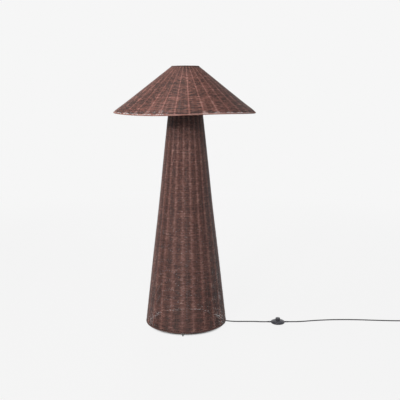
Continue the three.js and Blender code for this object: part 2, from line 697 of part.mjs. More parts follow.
// The woven shade and its wire frame. The slope runs from the rim border's middle to the top
// border's middle; slopePoint gives [radius, height] at a distance along it and off it, and
// slopeOff gives the distance off it of a [radius, height].
const SLOPE_FOOT = [SHADE_RIM_RADIUS - SHADE_RIM_BORDER, SHADE_RIM + SHADE_RIM_BORDER];
const SLOPE_HEAD = [SHADE_TOP_RADIUS - SHADE_TOP_BORDER, SHADE_TOP - SHADE_TOP_BORDER];
const SLOPE_IN = SLOPE_FOOT[0] - SLOPE_HEAD[0];
const SLOPE_UP = SLOPE_HEAD[1] - SLOPE_FOOT[1];
const SLOPE_LENGTH = Math.hypot(SLOPE_IN, SLOPE_UP);
const COS = SLOPE_IN / SLOPE_LENGTH;
const SIN = SLOPE_UP / SLOPE_LENGTH;

function slopePoint(along, off) {
  return [SLOPE_FOOT[0] - COS * along + SIN * off, SLOPE_FOOT[1] + SIN * along + COS * off];
}

function slopeOff(radius, height) {
  return (radius - SLOPE_FOOT[0]) * SIN + (height - SLOPE_FOOT[1]) * COS;
}

// Wires lie under the wall, clear of the middles of its facets, and the wall ends short of the
// middles of the border's facets.
const FACET_SAG = SHADE_RIM_RADIUS * (1 - FACET_COS);
const WIRE_OFF = -(SHADE_WALL / 2 + FACET_SAG * SIN + CLEARANCE + WIRE_RADIUS);
const RIM_WIRE_ALONG = SHADE_RIM_BORDER + CLEARANCE + WIRE_RADIUS;
const TOP_WIRE_ALONG = SLOPE_LENGTH - SHADE_TOP_BORDER - CLEARANCE - WIRE_RADIUS;

function shadeRing(along, off) {
  const [radius, height] = slopePoint(along, off);
  return wireRing(radius, height, WIRE_RADIUS, SHADE_RING_STEPS);
}

// A row of openings, one beside each ridge, runs round above the rim's border.
function shadeWall() {
  const start = SHADE_RIM_BORDER + CLEARANCE + FACET_SAG * COS;
  const end = SLOPE_LENGTH - SHADE_TOP_BORDER - CLEARANCE;
  const half = SHADE_WALL / 2;
  const corners = [[start, half], [end, half], [end, -half], [start, -half]];
  const outline = corners.map(([along, off]) => slopePoint(along, off));
  const isOutside = (radius, height) => slopeOff(radius, height) > 0;
  const step = [SIN * SHADE_RIDGE_HEIGHT, COS * SHADE_RIDGE_HEIGHT];
  const wall = ridged(turned(outline, 2 * SHADE_RIDGES), SHADE_RIDGES, isOutside, step);
  const opening = new THREE.BoxGeometry(RIM_OPENING_LENGTH, RIM_OPENING_WIDTH, 3 * SHADE_WALL);
  opening.rotateY(Math.atan2(SIN, COS)).translate(...onSlope(start + RIM_OPENING_PLACE, 0));
  const openings = [];
  for (let i = 0; i < SHADE_RIDGES; i += 1) {
    openings.push(opening.clone().rotateZ((2 * Math.PI * (i + 0.25)) / SHADE_RIDGES));
  }
  return shaped(wall, { cut: openings }).rotateZ(SHADE_TURN);
}

function roundBorder([radius, height], section) {
  const outline = [];
  for (let i = 0; i < RING_FACETS; i += 1) {
    const angle = (2 * Math.PI * (i + 0.5)) / RING_FACETS;
    outline.push([radius + section * Math.cos(angle), height + section * Math.sin(angle)]);
  }
  return turned(outline, FACETS);
}

function onSlope(along, off) {
  const [radius, height] = slopePoint(along, off);
  return at(radius, 0, height);
}

function shadeFrame() {
  const middleOff = WIRE_OFF - 2 * WIRE_RADIUS + WELD;
  const rings = [shadeRing(TOP_WIRE_ALONG, WIRE_OFF), shadeRing(SLOPE_LENGTH * MIDDLE_RING_SHARE, middleOff)];
  const ends = [onSlope(RIM_WIRE_ALONG, WIRE_OFF), onSlope(TOP_WIRE_ALONG, WIRE_OFF)];
  const ribs = [];
  for (let i = 0; i < SHADE_RIBS; i += 1) {
    ribs.push(bar(...ends, WIRE_RADIUS, RING_FACETS).rotateZ((2 * Math.PI * i) / SHADE_RIBS));
  }
  return shaped(shadeRing(RIM_WIRE_ALONG, WIRE_OFF), { add: [...rings, ...ribs] });
}

// The spider's flat ring sits between the holder's nuts; its arms carry the top ring.
function shadeSpider() {
  const armFoot = SHADE_NUT_RADIUS + SPIDER_REACH + WIRE_RADIUS;
  const bore = HOLDER_RADIUS + CLEARANCE;
  const ring = tube(armFoot + WIRE_RADIUS, bore, SEAT_HEIGHT, SEAT_HEIGHT + SPIDER_SHEET, SMALL_FACETS);
  const foot = at(armFoot, 0, SEAT_HEIGHT);
  const head = onSlope(TOP_WIRE_ALONG, WIRE_OFF);
  head.z -= WIRE_RADIUS + 2 * CLEARANCE;
  const arms = [];
  for (let i = 0; i < SPIDER_ARMS; i += 1) {
    const turn = Math.PI / SHADE_RIBS + (2 * Math.PI * i) / SPIDER_ARMS;
    arms.push(bar(foot, head, WIRE_RADIUS, ROD_FACETS).rotateZ(turn));
  }
  return shaped(ring, { add: arms });
}

function addShade() {
  piece("shade_wicker", shadeWall(), LOOKS.shade);
  piece("shade_rim_border", roundBorder(SLOPE_FOOT, SHADE_RIM_BORDER), LOOKS.shade);
  piece("shade_top_border", roundBorder(SLOPE_HEAD, SHADE_TOP_BORDER), LOOKS.shade);
  piece("shade_frame", shadeFrame(), LOOKS.frame);
  piece("shade_spider", shadeSpider(), LOOKS.frame);
}

// The lead's part inside the lamp: down the stem, out of its slot and over the plate to the clamp
const LEAD_BEND = 100; // height where the lead starts to bend towards the slot
const LEAD_OVERLAP = 1; // of the straight and the bent length, which are one piece
const LEAD_END_X = CORD_CLAMP_X + CLAMP_WIDTH / 2 + 1;

function innerLead() {
  const ends = [at(0, 0, LEAD_BEND - LEAD_OVERLAP), at(0, 0, INSERT_BOTTOM - CLEARANCE)];
  const straight = bar(...ends, CORD_RADIUS, CORD_SIDES);
  const bend = cordAlong(
    [
      [0, 0, LEAD_BEND],
      [0.6, 0, 76],
      [5, 0, 54],
      [16, 0.2, 36],
      [34, 1, 24],
      [60, 3, LEAD_HEIGHT + 1],
      [CORD_CLAMP_X - 54, 6, LEAD_HEIGHT + 0.4],
      [CORD_CLAMP_X - 20, CORD_LINE_Y, LEAD_HEIGHT],
      [LEAD_END_X, CORD_LINE_Y, LEAD_HEIGHT],
    ],
  );
  return shaped(straight, { add: [bend] });
}

// The foot switch is modelled about its own middle, standing on the floor.
function switchLower() {
  const base = turned(
    [
      [0, 0],
      [SWITCH_RADIUS - SWITCH_WALL, 0],
      [SWITCH_RADIUS, SWITCH_WALL],
      [SWITCH_RADIUS, SWITCH_SPLIT - CLEARANCE / 2],
      [SWITCH_RADIUS - SWITCH_WALL, SWITCH_SPLIT - CLEARANCE / 2],
      [SWITCH_RADIUS - SWITCH_WALL, SWITCH_FLOOR],
      [0, SWITCH_FLOOR],
    ],
    SWITCH_FACETS,
  );
  const posts = atScrews(cylinder(BOSS_RADIUS, SWITCH_SPLIT - CLEARANCE / 2 - 1, SCREW_FACETS, 0, 0, 1));
  const holes = atScrews(cylinder(SWITCH_SCREW_RADIUS + CLEARANCE, SWITCH_TOP, SCREW_FACETS, 0, 0, -1));
  const sinks = atScrews(cylinder(SWITCH_SCREW_HEAD + CLEARANCE, SCREW_SINK + 1, SCREW_FACETS, 0, 0, -1));
  return shaped(base, { add: posts, cut: [...holes, ...sinks, bushBore()] });
}

function atScrews(geometry) {
  const copies = [];
  for (let i = 0; i < SWITCH_SCREWS; i += 1) {
    const turn = Math.PI / 2 + (2 * Math.PI * i) / SWITCH_SCREWS;
    copies.push(geometry.clone().translate(SWITCH_SCREW_CIRCLE, 0, 0).rotateZ(turn));
  }
  return copies;
}

function bushBore() {
  const reach = SWITCH_RADIUS + BUSH_TAIL;
  return bar(at(-reach, 0, SWITCH_SPLIT), at(reach, 0, SWITCH_SPLIT), BUSH_RADIUS + CLEARANCE, ROD_FACETS);
}

// The dome: radius and height run along a quarter of a flattened curve from the wall to the button.
function domeLine(thickness) {
  const line = [];
  const inner = BUTTON_RADIUS + BUTTON_GAP;
  for (let i = 0; i <= DOME_STEPS; i += 1) {
    const angle = (Math.PI / 2) * (i / DOME_STEPS);
    const radius = inner + (SWITCH_RADIUS - thickness - inner) * Math.cos(angle) ** DOME_POWER;
    const height = DOME_FOOT + (SWITCH_TOP - thickness - DOME_FOOT) * Math.sin(angle) ** DOME_POWER;
    line.push([radius, height]);
  }
  return line;
}

function switchUpper() {
  const foot = SWITCH_SPLIT + CLEARANCE / 2;
  const outline = [
    [SWITCH_RADIUS, foot],
    ...domeLine(0),
    ...domeLine(SWITCH_WALL).reverse(),
    [SWITCH_RADIUS - SWITCH_WALL, foot],
  ];
  const shell = turned(outline, SWITCH_FACETS);
  const posts = atScrews(cylinder(BOSS_RADIUS, BOSS_TOP - foot, SCREW_FACETS, 0, 0, foot));
  const holeDepth = SWITCH_SCREW_LENGTH + CLEARANCE;
  const holes = atScrews(cylinder(SWITCH_SCREW_RADIUS + CLEARANCE, holeDepth, SCREW_FACETS, 0, 0, 0));
  return shaped(shell, { add: posts, cut: [...holes, bushBore()] });
}

// The button is a cup with a flange that the dome keeps in.
function switchButton() {
  const flangeBottom = SWITCH_FLANGE_TOP - BUTTON_FLANGE_HEIGHT;
  return turned(
    [
      [BUTTON_RADIUS - BUTTON_WALL, flangeBottom],
      [BUTTON_RADIUS + BUTTON_FLANGE, flangeBottom],
      [BUTTON_RADIUS + BUTTON_FLANGE, SWITCH_FLANGE_TOP],
      [BUTTON_RADIUS, SWITCH_FLANGE_TOP],
      [BUTTON_RADIUS, BUTTON_TOP - BUTTON_CROWN],
      [BUTTON_RADIUS - BUTTON_CROWN / 2, BUTTON_TOP - BUTTON_CROWN / 3],
      [BUTTON_RADIUS - 2 * BUTTON_CROWN, BUTTON_TOP],
      [0, BUTTON_TOP],
      [0, BUTTON_TOP - BUTTON_WALL],
      [BUTTON_RADIUS - BUTTON_WALL, BUTTON_TOP - BUTTON_WALL],
    ],
    SMALL_FACETS,
  );
}

function switchSpring() {
  const bottom = BLOCK_TOP + CLEARANCE + SPRING_WIRE;
  const top = BUTTON_TOP - BUTTON_WALL - CLEARANCE - SPRING_WIRE;
  const path = [];
  const steps = SPRING_TURNS * SPRING_STEPS;
  for (let i = 0; i <= steps; i += 1) {
    const angle = (2 * Math.PI * i) / SPRING_STEPS;
    const height = bottom + ((top - bottom) * i) / steps;
    path.push(at(SPRING_RADIUS * Math.cos(angle), SPRING_RADIUS * Math.sin(angle), height));
  }
  return woundTube(path, SPRING_WIRE, SPRING_SIDES);
}

function switchBlock() {
  const bottom = SWITCH_FLOOR + CLEARANCE;
  return box(BLOCK_LENGTH, BLOCK_WIDTH, BLOCK_TOP - bottom, 0, 0, bottom);
}

function switchScrew() {
  const head = SCREW_SINK - SWITCH_SCREW_SEAT;
  return turned(
    [
      [0, CLEARANCE],
      [SWITCH_SCREW_HEAD, CLEARANCE],
      [SWITCH_SCREW_HEAD, head],
      [SWITCH_SCREW_RADIUS, head],
      [SWITCH_SCREW_RADIUS, SWITCH_SCREW_LENGTH],
      [0, SWITCH_SCREW_LENGTH],
    ],
    SCREW_FACETS,
  );
}

// A bush points along +X: a flange inside the wall, a neck through it and a tapering tail outside.
function switchBush() {
  const outside = SWITCH_RADIUS + CLEARANCE;
  const geometry = turned(
    [
      [0, SWITCH_RADIUS - BUSH_INSIDE],
      [BUSH_RADIUS + BUSH_FLANGE, SWITCH_RADIUS - BUSH_INSIDE],
      [BUSH_RADIUS + BUSH_FLANGE, BUSH_NECK],
      [BUSH_RADIUS, BUSH_NECK],
      [BUSH_RADIUS, outside],
      [BUSH_TAIL_RADIUS, outside + BUSH_TAIL],
      [0, outside + BUSH_TAIL],
    ],
    SMALL_FACETS / 2,
  );
  return geometry.rotateY(Math.PI / 2).translate(0, 0, SWITCH_SPLIT);
}

function addSwitch() {
  const own = [
    piece("switch_lower_shell", switchLower(), LOOKS.switch),
    piece("switch_upper_shell", switchUpper(), LOOKS.switch),
    piece("switch_button", switchButton(), LOOKS.switch),
    piece("switch_spring", switchSpring(), LOOKS.steel),
    piece("switch_block", switchBlock(), LOOKS.ceramic),
    ...atScrews(switchScrew()).map((screw, i) => piece(`switch_screw_${i + 1}`, screw, LOOKS.steel)),
    piece("switch_bush_in", switchBush().rotateZ(Math.PI), LOOKS.cord),
    piece("switch_bush_out", switchBush(), LOOKS.cord),
  ];
  for (const mesh of own) mesh.position.set(SWITCH_X, SWITCH_Y, 0);
}

// The free lead, in the stretches that lie between its pieces; points chosen along the floor
const BUSH_END = SWITCH_RADIUS + CLEARANCE + BUSH_TAIL + CLEARANCE;

function cordLampToSwitch() {
  return [
    [LEAD_END_X + CLEARANCE, CORD_LINE_Y, LEAD_HEIGHT],
    [PLATE_RADIUS - 16, CORD_LINE_Y, 17.6],
    [PLATE_RADIUS, CORD_LINE_Y, 14.4],
    [PLATE_RADIUS + 18, CORD_LINE_Y, 10.8],
    [PLATE_RADIUS + 40, CORD_LINE_Y, 8.8],
    [PLATE_RADIUS + 72, CORD_LINE_Y, 5],
    [PLATE_RADIUS + 110, CORD_LINE_Y, CORD_FLOOR],
    [352, 7.8, CORD_FLOOR],
    [409, 6.2, CORD_FLOOR],
    [436, 1.4, 4],
    [454, -4.6, 5.8],
    [466, -7.7, 6.9],
    [SWITCH_X - BUSH_END, SWITCH_Y, SWITCH_SPLIT],
  ];
}

function cordSwitchToCoil() {
  return [
    [SWITCH_X + BUSH_END, SWITCH_Y, SWITCH_SPLIT],
    [607, -7.2, 6.9],
    [624, -2, 5.3],
    [646, 3.6, CORD_FLOOR],
    [670, 6.2, CORD_FLOOR],
    [693, 10, CORD_FLOOR],
    [717, 15, CORD_FLOOR],
    [735, 19, CORD_FLOOR],
    [790, 29, CORD_FLOOR],
    [880, 38, CORD_FLOOR],
    [990, 38, CORD_FLOOR],
    [1100, 29, CORD_FLOOR],
    [1210, 20, CORD_FLOOR],
    [1290, COIL_START_Y, CORD_FLOOR],
    [COIL_START_X - 2 * CORD_RADIUS - CLEARANCE, COIL_START_Y, CORD_FLOOR],
  ];
}

function cordCoilToPlug() {
  return [
    [COIL_START_X + 2 * CORD_RADIUS + CLEARANCE, COIL_START_Y, CORD_FLOOR + COIL_PITCH],
    [1361, COIL_START_Y, 10.3],
    [1377, 17.5, 8.8],
    [1395, 17, 7.5],
    [PLUG_X - CLEARANCE, PLUG_Y, PLUG_HEIGHT],
  ];
}

// The spare lead lies in a round coil: turns spiral in on the floor and out again on top of them.
function coilPath() {
  const turns = 2 * COIL_TURNS_IN;
  const middleY = COIL_START_Y + COIL_RADIUS;
  const path = [at(COIL_START_X - 2 * CORD_RADIUS, COIL_START_Y, CORD_FLOOR)];
  for (let i = 0; i <= turns * COIL_STEPS; i += 1) {
    const turn = i / COIL_STEPS;
    const angle = 2 * Math.PI * turn;
    const fromEnd = Math.min(turn, turns - turn);
    const climb = Math.min(Math.max(2 * (turn - COIL_TURNS_IN) + 0.5, 0), 1);
    const radius = COIL_RADIUS - COIL_PITCH * fromEnd;
    const x = COIL_START_X + radius * Math.sin(angle);
    const y = middleY - radius * Math.cos(angle);
    path.push(at(x, y, CORD_FLOOR + COIL_PITCH * climb));
  }
  path.push(at(COIL_START_X + 2 * CORD_RADIUS, COIL_START_Y, CORD_FLOOR + COIL_PITCH));
  return path;
}

// The least gap between turns, measured on the path's points half a turn or more apart.
function leastGap(path) {
  let least = Infinity;
  for (let i = 0; i < path.length; i += 1) {
    for (let j = i + COIL_STEPS / 2; j < path.length; j += 1) {
      least = Math.min(least, path[i].distanceTo(path[j]) - 2 * CORD_RADIUS);
    }
  }
  return least;
}

function addLead() {
  piece("lead_inside", innerLead(), LOOKS.cord);
  piece("cord_lamp_to_switch", cordAlong(cordLampToSwitch()), LOOKS.cord);
  piece("cord_switch_to_coil", cordAlong(cordSwitchToCoil()), LOOKS.cord);
  const coil = coilPath();
  piece("cord_coil", woundTube(coil, CORD_RADIUS, COIL_SIDES), LOOKS.cord);
  console.log(`Least gap between the coil's turns: ${leastGap(coil).toFixed(2)} mm`);
  piece("cord_coil_to_plug", cordAlong(cordCoilToPlug()), LOOKS.cord);
}

// The plug lies flat and points along +X: a tail, a bevelled body and two pins
function plugBody() {
  const tailEnd = PLUG_TAIL + PLUG_BEVEL;
  const tail = turned([[0, 0], [PLUG_TAIL_RADIUS, 0], [PLUG_TAIL_FOOT, tailEnd], [0, tailEnd]], ROD_FACETS);
  const wide = PLUG_WIDTH / 2;
  const shape = new THREE.Shape();
  shape.moveTo(PLUG_TAIL, -wide / 2);
  shape.lineTo(PLUG_TAIL + PLUG_LENGTH / 3, -wide + PLUG_BEVEL);
  shape.lineTo(PLUG_TAIL + PLUG_LENGTH - PLUG_BEVEL, -wide + PLUG_BEVEL);
  shape.lineTo(PLUG_TAIL + PLUG_LENGTH - PLUG_BEVEL, wide - PLUG_BEVEL);
  shape.lineTo(PLUG_TAIL + PLUG_LENGTH / 3, wide - PLUG_BEVEL);
  shape.lineTo(PLUG_TAIL, wide / 2);
  const depth = PLUG_THICKNESS - 2 * PLUG_BEVEL;
  const bevel = { bevelThickness: PLUG_BEVEL, bevelSize: PLUG_BEVEL, bevelSegments: 2 };
  const body = new THREE.ExtrudeGeometry(shape, { depth, ...bevel });
  return shaped(body.translate(0, 0, -depth / 2), { add: [tail.rotateY(Math.PI / 2)] });
}

function addPlug() {
  const end = PLUG_TAIL + PLUG_LENGTH + CLEARANCE;
  const own = [piece("plug_body", plugBody(), LOOKS.switch)];
  [-PIN_SPACING / 2, PIN_SPACING / 2].forEach((y, i) => {
    const pin = bar(at(end, y, 0), at(end + PIN_LENGTH, y, 0), PIN_RADIUS, ROD_FACETS);
    own.push(piece(`plug_pin_${i + 1}`, pin, LOOKS.brass));
  });
  for (const mesh of own) mesh.position.set(PLUG_X, PLUG_Y, PLUG_HEIGHT);
}

LAMP.name = "rattan_floor_lamp";
addWovenBase();
addFrame();
addWeightPlate();
addStem();
addLampholder();
addBulb();
addShade();
addLead();
addSwitch();
addPlug();

export default LAMP;
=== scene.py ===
# %% [markdown]
# # A rattan floor lamp, dressed over its solid model
# A tall cone of basketwork stands under a wide woven shade. Its solids, from the CAD model, say where every
# piece is. This script adds what the eye sees: woven cane, lacquer, cord and light. It reads the frame and
# lets each new piece ride on a body of it.

# %% The frame
import math
from functools import partial

import bpy
import numpy as np
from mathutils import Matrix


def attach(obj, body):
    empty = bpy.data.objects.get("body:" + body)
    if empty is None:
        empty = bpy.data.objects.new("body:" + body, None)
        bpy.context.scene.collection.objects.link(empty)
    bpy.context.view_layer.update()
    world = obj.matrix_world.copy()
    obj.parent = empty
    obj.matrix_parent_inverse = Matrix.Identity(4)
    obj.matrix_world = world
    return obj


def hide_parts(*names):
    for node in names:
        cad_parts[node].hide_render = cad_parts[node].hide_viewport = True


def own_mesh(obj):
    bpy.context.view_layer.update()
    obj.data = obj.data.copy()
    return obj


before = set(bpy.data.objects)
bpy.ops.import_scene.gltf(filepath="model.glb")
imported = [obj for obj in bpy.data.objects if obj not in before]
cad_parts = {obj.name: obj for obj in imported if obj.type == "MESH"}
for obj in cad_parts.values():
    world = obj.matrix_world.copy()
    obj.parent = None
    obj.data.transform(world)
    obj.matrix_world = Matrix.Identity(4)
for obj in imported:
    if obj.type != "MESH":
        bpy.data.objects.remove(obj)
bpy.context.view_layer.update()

# %% [markdown]
# ## Units, colours and nodes
# Blender works in metres and linear light, a maker in millimetres and screen colours: two conversions keep
# both readable. A material is a graph of nodes, and one helper adds a node with its settings and links.

# %% Helpers for units, colours and nodes
MM = 0.001


def linear(code):
    """A screen colour in linear light: c / 12.92 up to 0.04045, ((c + 0.055) / 1.055) ** 2.4 above that."""
    c = np.array([int(code[i:i + 2], 16) for i in (1, 3, 5)]) / 255
    return (*np.where(c <= 0.04045, c / 12.92, ((c + 0.055) / 1.055) ** 2.4).tolist(), 1.0)


def add_node(graph, kind, inputs, out=None, **settings):
    """Adds a node: an input is a value or another node's output, and settings are the node's own properties.
    Gives back the output called out, or the node itself."""
    new = graph.nodes.new("ShaderNode" + kind)
    for name, value in settings.items():
        setattr(new, name, value)
    for key, value in inputs.items():
        if isinstance(value, bpy.types.NodeSocket):
            graph.links.new(value, new.inputs[key])
        else:
            new.inputs[key].default_value = value
    return new if out is None else new.outputs[out]


def empty_graph(owner):
    """Empties a material's or the world's graph, and gives back add_node for it."""
    owner.use_nodes = True
    owner.node_tree.nodes.clear()
    return partial(add_node, owner.node_tree)


def new_material(name):
    """A new material, and add_node for its graph."""
    material = bpy.data.materials.new(name)
    return material, empty_graph(material)


def finish_with(node, inputs):
    """Ends a graph in one Principled shader with these inputs, and the output."""
    node("OutputMaterial", {"Surface": node("BsdfPrincipled", inputs, "BSDF")})


# %% [markdown]
# ## The camera
# The photograph was taken from the height of the shade, whose rim shows almost edge on. The lens, the height
# and the tilt were fitted to the outlines of both cones. The camera comes first, because the cord's spare
# length is put away outside its view.

# %% The camera
CAMERA_PLACE = (0.081083, -3.802142, 1.354447)
CAMERA_PITCH = 0.163  # radians below the horizon
SENSOR = 36.0
FOCAL = 675.564 / 400 * SENSOR  # the fitted focal length in pixels, over the width of the picture


def in_scene(name, data):
    """A new object that holds the data, linked into the scene."""
    thing = bpy.data.objects.new(name, data)
    bpy.context.scene.collection.objects.link(thing)
    return thing


lens = bpy.data.cameras.new("camera")
lens.sensor_width = SENSOR
lens.lens = FOCAL
camera = in_scene("camera", lens)
camera.location = CAMERA_PLACE
camera.rotation_euler = (math.pi / 2 - CAMERA_PITCH, 0, 0)
bpy.context.scene.camera = camera
print("camera:", round(FOCAL, 2), "mm lens")

# %% [markdown]
# ## From arrays to meshes
# Every new piece is a surface worked out with numpy: a grid of points, and the quads between them, put into
# the mesh in one step. A UV map that holds millimetres along a strand lets the grain follow it.

# %% Meshes from arrays


def around(count):
    """Evenly spaced angles of one full turn."""
    return np.arange(count) * 2 * np.pi / count


def tube_faces(strands, length, sides, closed):
    """Quads of many tubes at once. Corner j of section i of tube s is point (s * length + i) * sides + j.
    Also gives each corner's own s, i and j, not wrapped, for the UV map. A tube that isn't closed to a ring
    gets a fan of quads at each end."""
    s, i, j = np.meshgrid(np.arange(strands), np.arange(length if closed else length - 1), np.arange(sides),
                          indexing="ij")
    i = i[..., None] + np.array([0, 0, 1, 1])
    j = j[..., None] + np.array([0, 1, 1, 0])
    s = np.broadcast_to(s[..., None], i.shape)
    faces = ((s * length + i % length) * sides + j % sides).reshape(-1, 4)
    s, i, j = (a.reshape(-1, 4) for a in (s, i, j))
    if closed:
        return faces, (s, i, j)
    fan = np.array([[0, k, k + 1, k + 2] for k in range(1, sides - 2, 2)])
    first = (np.arange(strands) * length * sides)[:, None, None]
    caps = np.concatenate([(first + fan[:, ::-1]), first + (length - 1) * sides + fan], 1).reshape(-1, 4)
    ends = (caps // (length * sides), caps // sides % length, caps * 0)
    return np.vstack([faces, caps]), tuple(np.vstack([x, y]) for x, y in zip((s, i, j), ends))


def inside_out(points, faces):
    """Whether a closed surface's volume, a sixth of the sum of a . (b x c) over triangles, is below 0."""
    a, b, c, d = (points[faces[:, k]] for k in (0, 1, 2, -1))
    return (a * np.cross(b, c)).sum() + (a * np.cross(c, d)).sum() < 0


def add_piece(name, points, faces, material, slot, nodes=(), body="lamp", uv=None, tone=None, sharp=None):
    """Puts points (metres) and faces (rows of corners) into a mesh that rides on a body and stands for CAD
    nodes. Edges sharper than `sharp` degrees stay crisp."""
    if inside_out(points, faces):
        faces = faces[:, ::-1]
        uv = None if uv is None else uv[:, ::-1]
    mesh = bpy.data.meshes.new(name)
    mesh.vertices.add(len(points))
    mesh.vertices.foreach_set("co", np.asarray(points, np.float32).ravel())
    mesh.loops.add(faces.size)
    mesh.loops.foreach_set("vertex_index", faces.ravel().astype(np.int32))
    mesh.polygons.add(len(faces))
    mesh.polygons.foreach_set("loop_start", np.arange(0, faces.size, faces.shape[1], dtype=np.int32))
    mesh.update(calc_edges=True)
    if uv is not None:
        mesh.uv_layers.new(name="strand").data.foreach_set("uv", np.asarray(uv, np.float32).ravel())
    if tone is not None:
        attribute = mesh.attributes.new("tone", "FLOAT", "POINT")
        attribute.data.foreach_set("value", np.asarray(tone, np.float32).ravel())
    mesh.polygons.foreach_set("use_smooth", np.ones(len(faces), bool))
    if sharp is not None:
        mesh.set_sharp_from_angle(angle=math.radians(sharp))
    mesh.materials.append(material)
    piece = in_scene(name, mesh)
    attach(piece, body)
    if nodes:
        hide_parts(*nodes)
    print(name, len(faces), "faces")
    return piece


# %% [markdown]
# ## The cord
# A real lead is a round PVC sheath over its cores, of a fixed length. It lies flat and bends no tighter than
# about four diameters. Here it is a tube along a curve through given points (Catmull-Rom), which
# needs no handles as a Bezier does. Past the view's right edge the spare length is put away in a round coil.

# %% The cord's line
CORD_RADIUS = 3.25 * MM
CORD_SIDES = 16
CORD_STEP, CURVE_STEPS = 3.0, 24  # mm between sections, and points of the curve between two knots
FLOOR_LINE = 3.4  # height of the cord's middle where it lies on the floor
TO_SWITCH = [
    (158.3, 7.5, 18.55), (174, 7.5, 17.6), (190, 7.5, 14.4), (208, 7.5, 10.8), (230, 7.5, 8.8), (262, 7.5, 5),
    (300, 7.5, 3.4), (352, 7.8, 3.4), (409, 6.2, 3.4), (436, 1.4, 4), (454, -4.6, 5.8), (466, -7.7, 6.9),
    (476.65, -8, 7.2),
]
TO_COIL = [
    (597.35, -8, 7.2), (607, -7.2, 6.9), (624, -2, 5.3), (646, 3.6, 3.4), (670, 6.2, 3.4), (693, 10, 3.4),
    (717, 15, 3.4), (735, 19, 3.4), (790, 29, 3.4), (880, 38, 3.4), (990, 38, 3.4), (1100, 29, 3.4),
    (1210, 20, 3.4), (1290, 18, 3.4), (1333.2, 18, 3.4),
]
TO_PLUG = [(1346.8, 18, 10.5), (1361, 18, 10.3), (1377, 17.5, 8.8), (1395, 17, 7.5), (1412.7, 17, 7.3)]
INSIDE = [
    (0, 0, 1268), (0, 0, 900), (0, 0, 500), (0, 0, 200), (0, 0, 100), (0.6, 0, 76), (5, 0, 54), (16, 0.2, 36),
    (34, 1, 24), (60, 3, 19.55), (96, 6, 18.95), (130, 7.5, 18.55), (158.3, 7.5, 18.55),
]
COIL_START, COIL_RADIUS, COIL_PITCH = (1340, 18), 46, 7.1
COIL_TURNS, TURN_POINTS, CLIMB_TURNS = 6, 48, 0.5  # the last is the rise to the upper layer


def steps_of(line):
    """The distances between neighbouring points."""
    return np.linalg.norm(np.diff(line, axis=0), axis=1)


def length_of(line):
    """The sum of those distances."""
    return float(steps_of(line).sum())


def smooth_line(knots):
    """Centripetal Catmull-Rom curve: between two knots each point is a blend of blends of four neighbours,
    weighted by the square root of the distance between knots. Evenly resampled."""
    k = np.asarray(knots, float)
    k = np.vstack([2 * k[0] - k[1], k, 2 * k[-1] - k[-2]])
    t = np.append(0, np.cumsum(steps_of(k) ** 0.5))
    s = np.linspace(0, 1, CURVE_STEPS, endpoint=False)[:, None, None]
    t = [t[i:len(t) - 3 + i][None, :, None] for i in range(4)]
    p = [k[i:len(k) - 3 + i][None] for i in range(4)]
    u = t[1] + (t[2] - t[1]) * s
    for n in (1, 2):
        p = [((t[i + n] - u) * p[i] + (u - t[i]) * p[i + 1]) / (t[i + n] - t[i]) for i in range(4 - n)]
    fine = ((t[2] - u) * p[0] + (u - t[1]) * p[1]) / (t[2] - t[1])
    fine = np.vstack([fine.transpose(1, 0, 2).reshape(-1, 3), k[-2]])
    along = np.append(0, np.cumsum(steps_of(fine)))
    places = np.linspace(0, along[-1], int(along[-1] / CORD_STEP) + 1)
    return np.stack([np.interp(places, along, fine[:, i]) for i in range(3)], 1)


def coil_line():
    """A spiral: the radius shrinks by the pitch each turn, then grows again one layer higher."""
    turn = np.linspace(0, COIL_TURNS, COIL_TURNS * TURN_POINTS + 1)
    radius = COIL_RADIUS - COIL_PITCH * np.minimum(turn, COIL_TURNS - turn)
    climb = np.clip((turn - COIL_TURNS / 2) / CLIMB_TURNS + 0.5, 0, 1)
    x = COIL_START[0] + radius * np.sin(2 * np.pi * turn)
    y = COIL_START[1] + COIL_RADIUS - radius * np.cos(2 * np.pi * turn)
    return np.stack([x, y, FLOOR_LINE + COIL_PITCH * climb], 1)


lamp_to_switch = smooth_line(TO_SWITCH) * MM
switch_to_plug = np.vstack([smooth_line(TO_COIL)[:-1], coil_line(), smooth_line(TO_PLUG)[1:]]) * MM
inside_line = smooth_line(INSIDE) * MM
print("cord lengths in m:", *(round(length_of(line), 3)
                              for line in (lamp_to_switch, switch_to_plug, inside_line)))

# %% [markdown]
# ## Tubes along a line
# The sheath is extruded, so its section stays the same. The sections are turned so that the tube never
# twists: one side always points sideways, the other follows.

# %% Tubes along a line


def sweep(line, radius, sides=CORD_SIDES):
    """A tube: at each point a circle in the plane square to the line. The circle's first axis is level, and
    where the line stands upright it is square to Y too."""
    along = np.gradient(line, axis=0)
    along /= np.linalg.norm(along, axis=1)[:, None]
    side = np.cross(along, [0, 0, 1])
    upright = np.linalg.norm(side, axis=1) < 0.05
    side[upright] = np.cross(along[upright], [0, 1, 0])
    side /= np.linalg.norm(side, axis=1)[:, None]
    rise = np.cross(side, along)
    angle = around(sides)[None, :, None]
    ring = side[:, None] * np.cos(angle) - rise[:, None] * np.sin(angle)
    points = (line[:, None] + np.broadcast_to(radius, len(line))[:, None, None] * ring).reshape(-1, 3)
    faces, (s, i, j) = tube_faces(1, len(line), sides, False)
    length = np.append(0, np.cumsum(steps_of(line))) / MM
    return points, faces, np.stack([length[i], j], -1)


# %% [markdown]
# ## Even finishes
# Plastic, paint and plated metal have no pattern of their own, but none is one flat colour. A soft cloud
# moves the colour and the gloss a little, and a finer grain gives the skin its bump. One function with sizes
# in millimetres makes them all, so each material below is one line.

# %% Even finishes


